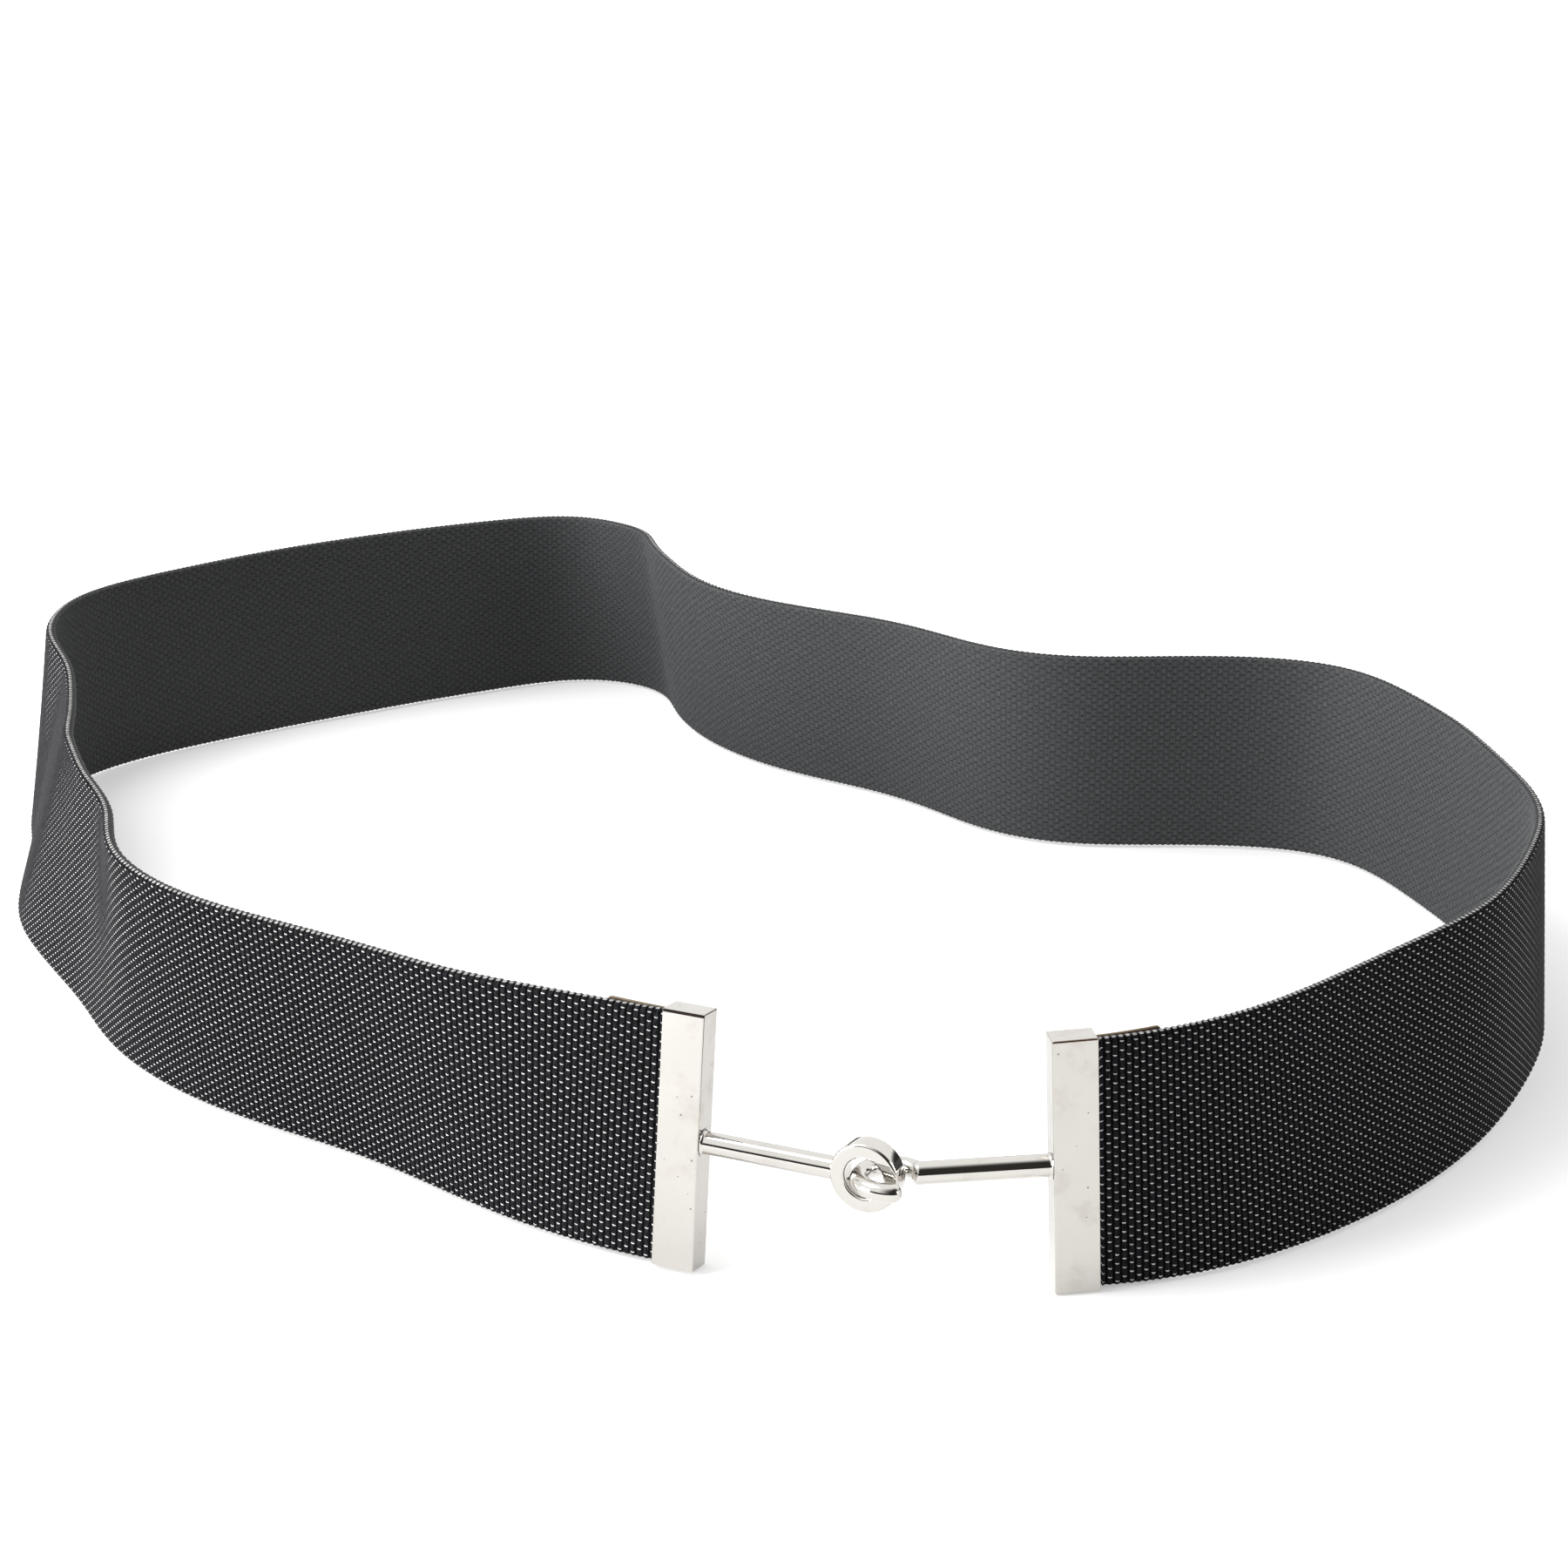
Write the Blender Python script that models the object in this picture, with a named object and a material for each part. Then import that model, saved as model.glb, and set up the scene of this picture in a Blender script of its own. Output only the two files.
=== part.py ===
"""Woven webbing belt with a ring-and-hook clasp, standing on its edge in an open loop.

Lengths are in metres and angles in degrees, +Z up. The clasp is at the front (-Y). The webbing
leaves the ring-side bar, goes round the back and comes home to the hook-side bar. Plan positions
are first worked out from the foot of the ring-side bar, and an empty then carries every piece so
that the origin is at the middle of the base.
"""
import math

import bmesh
import bpy
import numpy as np
from mathutils import Matrix, Vector

# Webbing
WEBBING_WIDTH = 0.038
WEBBING_THICKNESS = 0.0018
WEBBING_LENGTH = 0.806
SECTION_SPACING = 0.0027

# End bars: as tall as the webbing and a little over at each end
BAR_WIDTH = 0.0066
BAR_DEPTH = 0.0044
BAR_OVERHANG = 0.0003
BAR_EDGE_ROUND = 0.0002

# Where the webbing goes into a bar: the core is the metal left between its pocket and the rod's hole
BAR_CORE = 0.0012
TONGUE_INSET = 0.0010
SHOULDER_LENGTH = 0.0004

# Leather tabs on the inner side, beside each bar
LEATHER_THICKNESS = 0.0010
LEATHER_LENGTH = 0.0090

# Clasp: two rods, the ring on the first and the hook on the second
ROD_DIAMETER = 0.0033
ROD_END_ROUND = 0.0008
ROD_SEAT = 0.0024
RING_ROD_LENGTH = 0.0201
HOOK_ROD_LENGTH = 0.0187
RING_DIAMETER = 0.0104
RING_HOLE_DIAMETER = 0.0060
RING_THICKNESS = 0.00335
RING_EDGE_ROUND = 0.0003
HOOK_WIRE_DIAMETER = 0.0027
HOOK_CLEARANCE = 0.0008
HOOK_PULL = 0.55        # share of the wire's play in the hole, towards the ring's own rod
HOOK_ROOT_ANGLE = 17.0  # from the rod's line round the back to where the wire leaves the rod
HOOK_SWEEP = 262.0      # from the root through the hole and round the front to the tip
HOOK_ROOT_COVER = 0.0010
HOOK_TIP_FLAT = 0.1     # share of the wire's section left flat at the tip

# Gap between pieces that touch on the real belt
FIT_GAP = 0.0003

# The hook-side end is not quite upright in its own plane: its top is nearer the clasp
HOOK_END_RAKE = 1.8
RAKE_SHARE = 0.12

# The loop, a row for each bend or straight: share of the webbing's length, the way it heads in
# plan (0 is +X, 90 is +Y), and its lean (top outwards is positive)
LOOP_COLUMNS = ("share", "heading", "lean")
LOOP = (
    (0.000, 155.5, -7),
    (0.015, 148.5, -5),
    (0.050, 137.0, 4),
    (0.090, 146.0, 7),
    (0.135, 129.0, 4),
    (0.165, 115.0, -6),
    (0.190, 118.5, -9),
    (0.215, 115.0, -14),
    (0.240, 100.0, -17),
    (0.265, 96.0, -15),
    (0.290, 102.0, -10),
    (0.315, 79.0, -5),
    (0.340, 50.5, 1),
    (0.365, 38.0, 4),
    (0.395, 34.5, 8),
    (0.435, 30.5, 5),
    (0.470, 18.0, -1),
    (0.495, -34.0, -7),
    (0.515, -76.5, -8),
    (0.535, -69.5, -8),
    (0.560, -53.0, -10),
    (0.595, -35.0, -8),
    (0.635, -50.5, -4),
    (0.680, -1.5, 0),
    (0.715, -14.5, 1),
    (0.745, -63.5, 0),
    (0.775, -73.5, 0),
    (0.810, -80.0, -3),
    (0.850, -108.0, -4),
    (0.890, -119.0, -4),
    (0.930, -133.5, -10),
    (0.970, -150.5, -6),
    (1.000, -172.0, -2),
)
LINE_SAMPLES = 1600
CLOSING_PASSES = 8
CLOSING_STEP = 0.1

# Facets
ROUND_SIDES = 24
RING_SIDES = 48
WIRE_SIDES = 16
HOOK_STEPS = 30
END_STEPS = 4
LEATHER_SECTIONS = 6
BEVEL_SEGMENTS = 2
WELD_DISTANCE = 1e-6
SHARP_EDGE_ANGLE = 35.0

# Materials: colour, roughness, metallic
MATERIALS = {
    "webbing_black": ((0.020, 0.020, 0.022), 0.80, 0.0),
    "brown_leather": ((0.26, 0.13, 0.06), 0.60, 0.0),
    "bar_steel": ((0.80, 0.79, 0.77), 0.22, 1.0),
    "clasp_steel": ((0.82, 0.81, 0.80), 0.12, 1.0),
}

# Worked out from the sizes above
BAR_HEIGHT = WEBBING_WIDTH + 2 * BAR_OVERHANG
TONGUE_LENGTH = BAR_WIDTH - ROD_SEAT - BAR_CORE - FIT_GAP
CLASP_HEIGHT = BAR_HEIGHT / 2
ROD_RADIUS = ROD_DIAMETER / 2
RING_RADIUS = RING_DIAMETER / 2
HOLE_RADIUS = RING_HOLE_DIAMETER / 2
WIRE_RADIUS = HOOK_WIRE_DIAMETER / 2
UP = Vector((0.0, 0.0, 1.0))


def remove_scene_objects():
    """Empty the scene."""
    for item in list(bpy.data.objects):
        bpy.data.objects.remove(item, do_unlink=True)


def make_material(name):
    """A Principled material of one colour, from its row in the table."""
    colour, roughness, metallic = MATERIALS[name]
    material = bpy.data.materials.new(name)
    material.use_nodes = True
    shader = material.node_tree.nodes["Principled BSDF"]
    shader.inputs["Base Color"].default_value = (*colour, 1.0)
    shader.inputs["Roughness"].default_value = roughness
    shader.inputs["Metallic"].default_value = metallic
    material.diffuse_color = (*colour, 1.0)
    return material


def add_object(name, mesh, material, parent):
    """Link a mesh as a named object with its material."""
    item = bpy.data.objects.new(name, mesh)
    bpy.context.scene.collection.objects.link(item)
    item.parent = parent
    if material is not None:
        mesh.materials.append(material)
    return item


def add_cutter(name, mesh, parent):
    """Link a mesh that only cuts or joins another, and is not a piece itself."""
    item = add_object(name, mesh, None, parent)
    item.hide_render = True
    item.display_type = "WIRE"
    return item


def add_boolean(item, other, operation):
    """Cut or join one object with another."""
    modifier = item.modifiers.new(other.name, "BOOLEAN")
    modifier.operation = operation
    modifier.solver = "EXACT"
    modifier.object = other


def heading_vector(degrees):
    """Unit vector in plan."""
    angle = math.radians(degrees)
    return Vector((math.cos(angle), math.sin(angle), 0.0))


def smooth_column(shares, values, at):
    """Smooth curve through the rows of a table: cubic pieces that share their slopes."""
    slopes = np.gradient(values, shares)
    row = np.clip(np.searchsorted(shares, at) - 1, 0, len(shares) - 2)
    span = shares[row + 1] - shares[row]
    t = (at - shares[row]) / span
    start = (2 * t**3 - 3 * t**2 + 1) * values[row] + (t**3 - 2 * t**2 + t) * span * slopes[row]
    end = (3 * t**2 - 2 * t**3) * values[row + 1] + (t**3 - t**2) * span * slopes[row + 1]
    return start + end


class Clasp:
    """Plan of the clasp at rod height, from the ring-side bar to the hook-side bar."""

    def __init__(self, start_heading, start_lean, end_heading, end_lean):
        self.ring_way = -heading_vector(start_heading)
        self.hook_way = heading_vector(end_heading)
        self.ring_bar = self.shifted_by_lean(start_heading, start_lean)
        reach = BAR_WIDTH + RING_ROD_LENGTH + RING_RADIUS
        self.ring_centre = self.ring_bar + self.ring_way * reach
        rim_middle = (RING_RADIUS + HOLE_RADIUS) / 2
        rim_half = (RING_RADIUS - HOLE_RADIUS) / 2
        crossing = rim_middle + HOOK_PULL * (HOLE_RADIUS - WIRE_RADIUS)
        # The wire's circle goes through the hole at the crossing and clears the rim's outer
        # corners by the hook clearance.
        corner = rim_half + crossing
        keep = WIRE_RADIUS + HOOK_CLEARANCE
        square = corner**2 + (RING_THICKNESS / 2) ** 2 - keep**2
        self.hook_radius = square / (2 * (corner - keep))
        slack = crossing - self.hook_radius
        self.hook_centre = self.ring_centre + self.ring_way * (rim_middle - slack)
        back = -self.hook_way
        self.root_angle = math.degrees(math.atan2(back.y, back.x)) + HOOK_ROOT_ANGLE
        self.hook_root = self.hook_centre + heading_vector(self.root_angle) * self.hook_radius
        self.hook_bar = self.hook_root - self.hook_way * (HOOK_ROD_LENGTH + BAR_WIDTH)
        raked = self.hook_way * CLASP_HEIGHT * math.tan(math.radians(HOOK_END_RAKE))
        self.webbing_end = self.hook_bar - self.shifted_by_lean(end_heading, end_lean) - raked

    @staticmethod
    def shifted_by_lean(heading, lean):
        """How far a leaning bar is off its foot at rod height."""
        return heading_vector(heading + 90) * CLASP_HEIGHT * math.tan(math.radians(lean))


class WebbingLine:
    """The foot of the webbing's middle surface, and the straight line that rises from it."""

    def __init__(self, loop_rows):
        table = dict(zip(LOOP_COLUMNS, np.array(loop_rows).T))
        self.shares = table["share"]
        self.headings = table["heading"]
        self.leans = table["lean"]
        self.clasp = Clasp(self.headings[0], self.leans[0], self.headings[-1], self.leans[-1])
        self.at = np.linspace(0.0, 1.0, LINE_SAMPLES + 1)
        self.turn = self.close(np.array(self.clasp.webbing_end[:2]))

    def heading_at(self, share, turn):
        """Headings of the table, eased by two slow waves that leave both ends as they are."""
        eased = turn[0] * np.sin(math.pi * share) + turn[1] * np.sin(2 * math.pi * share)
        return np.radians(smooth_column(self.shares, self.headings, share) + eased)

    def plan(self, turn):
        """Plan positions along the webbing: the sum of its short steps."""
        heading = self.heading_at(self.at, turn)
        steps = np.column_stack((np.cos(heading), np.sin(heading)))
        middles = (steps[1:] + steps[:-1]) / 2 * WEBBING_LENGTH / LINE_SAMPLES
        return np.vstack((np.zeros(2), np.cumsum(middles, axis=0)))

    def close(self, target):
        """Ease the headings until the webbing ends at the hook-side bar."""
        turn = np.zeros(2)
        for _ in range(CLOSING_PASSES):
            end = self.plan(turn)[-1]
            slopes = [(self.plan(turn + step)[-1] - end) / CLOSING_STEP
                      for step in np.eye(2) * CLOSING_STEP]
            turn = turn - np.linalg.solve(np.array(slopes).T, end - target)
        return turn

    def frames(self, distances):
        """Foot, travel, rising line and outward normal at distances along the webbing.

        Past either end the line runs on straight, which is where the webbing is in its bar.
        """
        share = np.clip(np.asarray(distances) / WEBBING_LENGTH, 0.0, 1.0)
        plan = self.plan(self.turn)
        heading = self.heading_at(share, self.turn)
        lean = np.radians(smooth_column(self.shares, self.leans, share))
        rake = math.radians(HOOK_END_RAKE) * self.ease((share - 1.0) / RAKE_SHARE + 1.0)
        zero = np.zeros_like(share)
        travel = np.column_stack((np.cos(heading), np.sin(heading), zero))
        outward = np.column_stack((-np.sin(heading), np.cos(heading), zero))
        rise = outward * np.sin(lean)[:, None] + np.array(UP) * np.cos(lean)[:, None]
        normal = np.cross(rise, travel)
        rise = rise * np.cos(rake)[:, None] + travel * np.sin(rake)[:, None]
        foot = np.column_stack((np.interp(share, self.at, plan[:, 0]),
                                np.interp(share, self.at, plan[:, 1]),
                                zero + BAR_OVERHANG))
        foot += travel * (np.asarray(distances) - share * WEBBING_LENGTH)[:, None]
        return foot, travel, rise, normal

    @staticmethod
    def ease(t):
        """Smooth step from 0 to 1."""
        t = np.clip(t, 0.0, 1.0)
        return t * t * (3 - 2 * t)


def wall_from_line(name, line, distances, inset, offset, thickness, material, parent):
    """A wall that stands on the webbing's line, thickened evenly about its middle surface."""
    foot, _, rise, normal = line.frames(distances)
    foot = foot + normal * offset
    low = foot + rise * inset[:, None]
    high = foot + rise * (WEBBING_WIDTH - inset)[:, None]
    count = len(distances)
    points = np.vstack((low, high))
    faces = [(i, i + 1, count + i + 1, count + i) for i in range(count - 1)]
    mesh = bpy.data.meshes.new(name)
    mesh.from_pydata(points.tolist(), [], faces)
    item = add_object(name, mesh, material, parent)
    wall = item.modifiers.new("wall", "SOLIDIFY")
    wall.thickness = thickness
    wall.offset = 0.0
    wall.use_even_offset = True
    return item


def make_webbing(line, material, parent):
    """The long wall, with a narrower tongue at each end that goes into its bar."""
    start = FIT_GAP + SHOULDER_LENGTH
    end = WEBBING_LENGTH - start
    body = np.linspace(start, end, round((end - start) / SECTION_SPACING) + 1)
    first = [-TONGUE_LENGTH, FIT_GAP]
    last = [WEBBING_LENGTH - FIT_GAP, WEBBING_LENGTH + TONGUE_LENGTH]
    distances = np.concatenate((first, body, last))
    inset = np.zeros(len(distances))
    inset[:2] = TONGUE_INSET
    inset[-2:] = TONGUE_INSET
    return wall_from_line("webbing", line, distances, inset, 0.0, WEBBING_THICKNESS, material, parent)


def make_leather_tab(name, line, begin, material, parent):
    """A leather tab flat against the webbing's inner side."""
    distances = np.linspace(begin, begin + LEATHER_LENGTH, LEATHER_SECTIONS + 1)
    offset = WEBBING_THICKNESS / 2 + FIT_GAP + LEATHER_THICKNESS / 2
    inset = np.zeros(len(distances))
    return wall_from_line(name, line, distances, inset, -offset, LEATHER_THICKNESS, material, parent)


def box_mesh(name, low, high):
    """A box between two corners."""
    low, high = Vector(low), Vector(high)
    mesh = bpy.data.meshes.new(name)
    bm = bmesh.new()
    size = high - low
    place = Matrix.Translation((low + high) / 2) @ Matrix.Diagonal((*size, 1.0))
    bmesh.ops.create_cube(bm, size=1.0, matrix=place)
    bm.to_mesh(mesh)
    bm.free()
    return mesh


def tube_mesh(name, centres, radii, sides):
    """A closed tube with flat ends through centres that lie in one level plane."""
    centres = np.array(centres)
    ways = np.gradient(centres, axis=0)
    ways /= np.linalg.norm(ways, axis=1)[:, None]
    across = np.cross(ways, np.array(UP))
    angles = np.linspace(0.0, 2 * math.pi, sides, endpoint=False)
    ring = (across[:, None] * np.cos(angles)[:, None] + np.array(UP) * np.sin(angles)[:, None])
    points = centres[:, None] + ring * np.array(radii)[:, None, None]
    bm = bmesh.new()
    rows = [[bm.verts.new(p) for p in row] for row in points]
    for near, far in zip(rows, rows[1:]):
        for k in range(sides):
            after = (k + 1) % sides
            bm.faces.new((near[k], near[after], far[after], far[k]))
    bm.faces.new(rows[0][::-1])
    bm.faces.new(rows[-1])
    bmesh.ops.recalc_face_normals(bm, faces=bm.faces)
    mesh = bpy.data.meshes.new(name)
    bm.to_mesh(mesh)
    bm.free()
    return mesh


def washer_mesh(name, centre, axis):
    """The ring: a rectangle with rounded corners, spun about the ring's axis."""
    side = axis.cross(UP).normalized()
    half = RING_THICKNESS / 2
    corners = ((RING_RADIUS, half, 0), (HOLE_RADIUS, half, 90),
               (HOLE_RADIUS, -half, 180), (RING_RADIUS, -half, 270))
    bm = bmesh.new()
    loop = []
    for radius, height, first in corners:
        inward = math.copysign(RING_EDGE_ROUND, HOLE_RADIUS + RING_RADIUS - 2 * radius)
        middle = Vector((radius + inward, height - math.copysign(RING_EDGE_ROUND, height)))
        for step in range(END_STEPS):
            angle = math.radians(first + 90 * step / (END_STEPS - 1))
            x = middle.x + RING_EDGE_ROUND * math.cos(angle)
            y = middle.y + RING_EDGE_ROUND * math.sin(angle)
            loop.append(bm.verts.new(centre + side * x + axis * y))
    edges = [bm.edges.new((a, b)) for a, b in zip(loop, loop[1:] + loop[:1])]
    bmesh.ops.spin(bm, geom=loop + edges, cent=centre, axis=axis, angle=2 * math.pi,
                   steps=RING_SIDES, use_merge=True)
    bmesh.ops.remove_doubles(bm, verts=bm.verts, dist=WELD_DISTANCE)
    bmesh.ops.recalc_face_normals(bm, faces=bm.faces)
    mesh = bpy.data.meshes.new(name)
    bm.to_mesh(mesh)
    bm.free()
    return mesh


def at_rod_height(point):
    """A plan point lifted to the rods' height."""
    return point + UP * CLASP_HEIGHT


def make_end_bar(name, line, distance, rod_start, rod_way, material, parent):
    """A bar with a pocket for the webbing's tongue and a blind hole for its rod."""
    foot, _, rise, normal = (Vector(row[0]) for row in line.frames([distance]))
    toward = normal.cross(rise).normalized()
    if toward.dot(rod_way) < 0:
        toward.negate()
    depth = rise.cross(toward)
    corner = min((toward * x + depth * y).z
                 for x in (0.0, BAR_WIDTH) for y in (-BAR_DEPTH / 2, BAR_DEPTH / 2))
    foot_height = foot.z
    foot.z = -corner
    place = Matrix((toward, depth, rise)).transposed().to_4x4()
    place.translation = foot
    body = box_mesh(name, (0.0, -BAR_DEPTH / 2, 0.0), (BAR_WIDTH, BAR_DEPTH / 2, BAR_HEIGHT))
    bar = add_object(name, body, material, parent)
    bar.matrix_local = place
    bevel = bar.modifiers.new("edges", "BEVEL")
    bevel.width = BAR_EDGE_ROUND
    bevel.segments = BEVEL_SEGMENTS
    bevel.limit_method = "ANGLE"
    half = WEBBING_THICKNESS / 2 + FIT_GAP
    low = foot_height - foot.z + TONGUE_INSET - FIT_GAP
    high = foot_height - foot.z + WEBBING_WIDTH - TONGUE_INSET + FIT_GAP
    pocket_mesh = box_mesh(name + "_pocket", (-BAR_WIDTH, -half, low),
                           (TONGUE_LENGTH + FIT_GAP, half, high))
    pocket = add_cutter(name + "_pocket", pocket_mesh, parent)
    pocket.matrix_local = place
    mouth = rod_start + rod_way * BAR_WIDTH
    bottom = at_rod_height(mouth - rod_way * ROD_SEAT)
    bore_mesh = tube_mesh(name + "_bore", (bottom, at_rod_height(mouth + rod_way * BAR_WIDTH)),
                          (ROD_RADIUS + FIT_GAP,) * 2, ROUND_SIDES)
    bore = add_cutter(name + "_bore", bore_mesh, parent)
    add_boolean(bar, pocket, "DIFFERENCE")
    add_boolean(bar, bore, "DIFFERENCE")
    return bar


def make_ring_rod(clasp, material, parent):
    """The ring and its rod, one solid: the rod runs into the ring's rim."""
    axis = UP.cross(clasp.ring_way)
    centre = at_rod_height(clasp.ring_centre)
    ring = add_object("ring_rod", washer_mesh("ring_rod", centre, axis), material, parent)
    start = at_rod_height(clasp.ring_bar + clasp.ring_way * (BAR_WIDTH - ROD_SEAT + FIT_GAP))
    rim_middle = centre - clasp.ring_way * (RING_RADIUS + HOLE_RADIUS) / 2
    rod_mesh = tube_mesh("ring_rod_shank", (start, rim_middle), (ROD_RADIUS,) * 2, ROUND_SIDES)
    add_boolean(ring, add_cutter("ring_rod_shank", rod_mesh, parent), "UNION")
    return ring


def rounded_end(radius, rounding):
    """Distances from a rod's end and the radii there, round the end's edge."""
    angles = [math.radians(90 * step / END_STEPS) for step in range(END_STEPS + 1)]
    return [(rounding * (1 - math.cos(a)), radius - rounding * (1 - math.sin(a))) for a in angles]


def make_hook_rod(clasp, material, parent):
    """The hook and its rod, one solid: a wire bent level round the ring's rim."""
    start = clasp.hook_bar + clasp.hook_way * (BAR_WIDTH - ROD_SEAT + FIT_GAP)
    end = clasp.hook_root + clasp.hook_way * HOOK_ROOT_COVER
    rings = [(end - clasp.hook_way * back, radius)
             for back, radius in rounded_end(ROD_RADIUS, ROD_END_ROUND)]
    rings.append((start, ROD_RADIUS))
    rod_mesh = tube_mesh("hook_rod", [at_rod_height(p) for p, _ in rings],
                         [radius for _, radius in rings], ROUND_SIDES)
    rod = add_object("hook_rod", rod_mesh, material, parent)
    centres, radii = [], []
    for step in range(HOOK_STEPS + 1):
        share = step / HOOK_STEPS
        way = heading_vector(clasp.root_angle + HOOK_SWEEP * share)
        centres.append(at_rod_height(clasp.hook_centre + way * clasp.hook_radius))
        to_tip = math.radians(HOOK_SWEEP * (1 - share)) * clasp.hook_radius
        tip = max(0.0, 1 - to_tip / WIRE_RADIUS)
        radii.append(WIRE_RADIUS * math.sqrt(max(1 - tip**2, HOOK_TIP_FLAT)))
    wire = add_cutter("hook_wire", tube_mesh("hook_wire", centres, radii, WIRE_SIDES), parent)
    add_boolean(rod, wire, "UNION")
    return rod


def shade_round(items):
    """Smooth shading with sharp edges kept."""
    for item in items:
        item.data.shade_smooth()
        item.data.set_sharp_from_angle(angle=math.radians(SHARP_EDGE_ANGLE))


def centre_on_base(parent, items):
    """Move the empty so that the origin is at the middle of the base of all the pieces."""
    bpy.context.view_layer.update()
    graph = bpy.context.evaluated_depsgraph_get()
    corners = []
    for item in items:
        shown = item.evaluated_get(graph)
        corners += [shown.matrix_world @ Vector(corner) for corner in shown.bound_box]
    low = Vector([min(c[k] for c in corners) for k in range(3)])
    high = Vector([max(c[k] for c in corners) for k in range(3)])
    parent.location = (-(low.x + high.x) / 2, -(low.y + high.y) / 2, -low.z)
    bpy.context.view_layer.update()


def main():
    """Build every piece of the belt."""
    remove_scene_objects()
    belt = bpy.data.objects.new("belt", None)
    bpy.context.scene.collection.objects.link(belt)
    webbing_black, brown_leather, bar_steel, clasp_steel = map(make_material, MATERIALS)

    line = WebbingLine(LOOP)
    clasp = line.clasp
    ring_rod = make_ring_rod(clasp, clasp_steel, belt)
    hook_rod = make_hook_rod(clasp, clasp_steel, belt)
    ring_bar = make_end_bar("end_bar_ring_side", line, 0.0, clasp.ring_bar,
                            clasp.ring_way, bar_steel, belt)
    hook_bar = make_end_bar("end_bar_hook_side", line, WEBBING_LENGTH, clasp.hook_bar,
                            clasp.hook_way, bar_steel, belt)
    webbing = make_webbing(line, webbing_black, belt)
    ring_tab = make_leather_tab("leather_tab_ring_side", line, FIT_GAP, brown_leather, belt)
    hook_tab = make_leather_tab("leather_tab_hook_side", line,
                                WEBBING_LENGTH - LEATHER_LENGTH - FIT_GAP, brown_leather, belt)
    shade_round((ring_rod, hook_rod))
    centre_on_base(belt, (webbing, ring_tab, hook_tab, ring_bar, hook_bar, ring_rod, hook_rod))


main()
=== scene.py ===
"""Looks of the woven webbing belt: webbing, leather tabs, end bars, ring and hook.

Lengths are in metres and angles in degrees unless a name says otherwise, +Z up, in the frame of
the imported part. The belt stands on its edge with its clasp at the front (-Y).
"""

import logging
import math
from collections.abc import Callable
from dataclasses import dataclass, field
from enum import Enum
from functools import partial

import bpy
import numpy as np
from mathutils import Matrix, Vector


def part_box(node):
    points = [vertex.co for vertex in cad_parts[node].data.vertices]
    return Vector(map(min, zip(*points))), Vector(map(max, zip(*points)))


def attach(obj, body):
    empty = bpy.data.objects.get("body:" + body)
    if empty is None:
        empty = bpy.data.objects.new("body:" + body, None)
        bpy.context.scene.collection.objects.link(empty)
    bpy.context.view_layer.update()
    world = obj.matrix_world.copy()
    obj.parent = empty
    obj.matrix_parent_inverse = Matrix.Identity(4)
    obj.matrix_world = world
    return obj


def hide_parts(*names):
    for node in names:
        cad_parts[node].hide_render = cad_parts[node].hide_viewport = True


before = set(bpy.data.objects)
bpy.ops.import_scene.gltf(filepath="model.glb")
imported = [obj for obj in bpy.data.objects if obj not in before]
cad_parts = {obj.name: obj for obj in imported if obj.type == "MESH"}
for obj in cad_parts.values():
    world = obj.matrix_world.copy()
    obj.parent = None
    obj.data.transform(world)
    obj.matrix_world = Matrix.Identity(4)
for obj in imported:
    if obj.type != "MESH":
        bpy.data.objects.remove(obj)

LOG = logging.getLogger("belt")
BODY = "root"
UP = np.array((0.0, 0.0, 1.0))
MM = 0.001
SHARP_ANGLE = 60.0
PINCHES = 27.5          # pale threads up one rib, from edge to edge

Socket = bpy.types.NodeSocket
Adder = Callable[..., Socket]
SMOOTH = {"interpolation_type": "SMOOTHSTEP"}
TWO_COLOURS = {"data_type": "RGBA", "output": 2}    # the colours go into inputs 6 and 7


class Side(Enum):
    """The two faces of the webbing, by the sign of their normal."""

    OUTER = 1.0
    INNER = -1.0


class End(Enum):
    """The two ends of the webbing, by the part of the clasp that each bar carries."""

    RING = "ring_side"
    HOOK = "hook_side"


# Colour and nodes


def linear(hex_colour: str) -> tuple[float, float, float, float]:
    """Turn an sRGB hex colour to linear light.

    Args:
        hex_colour: six hex digits after a hash.

    Returns:
        Red, green, blue and an alpha of 1.
    """
    parts = [int(hex_colour[k:k + 2], 16) / 255 for k in (1, 3, 5)]
    red, green, blue = (c / 12.92 if c <= 0.04045 else ((c + 0.055) / 1.055) ** 2.4 for c in parts)
    return red, green, blue, 1.0


def feed(node: bpy.types.Node, inputs: dict) -> None:
    """Link or set some of a node's inputs.

    Args:
        node: the node.
        inputs: input names or numbers, each with a socket to link or a value to set.
    """
    for key, value in inputs.items():
        if isinstance(value, Socket):
            node.id_data.links.new(value, node.inputs[key])
        else:
            node.inputs[key].default_value = value


def add_node(
    tree: bpy.types.NodeTree, kind: str, *inputs: Socket | float | tuple,
    links: dict | None = None, output: int | str = 0, **settings: str,
) -> Socket:
    """Add a node with its settings and what goes into it.

    Args:
        tree: the node tree that it goes in.
        kind: the node's type, without the word that all types begin with.
        inputs: sockets to link or values to set, for its first inputs in their order.
        links: the same for further inputs, by name or number.
        output: the output to give back, by name or number.
        settings: attribute names and their values.

    Returns:
        The chosen output.
    """
    node = tree.nodes.new("ShaderNode" + kind)
    for name, value in settings.items():
        setattr(node, name, value)
    feed(node, dict(enumerate(inputs)) | (links or {}))
    return node.outputs[output]


def new_material(name: str) -> tuple[bpy.types.Material, Adder, bpy.types.Node]:
    """Start a material with nothing but its Principled shader.

    Args:
        name: what the material is called.

    Returns:
        The material, add_node for its tree, and its shader.
    """
    material = bpy.data.materials.new(name)
    material.use_nodes = True
    tree = material.node_tree
    return material, partial(add_node, tree), tree.nodes["Principled BSDF"]


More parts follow.
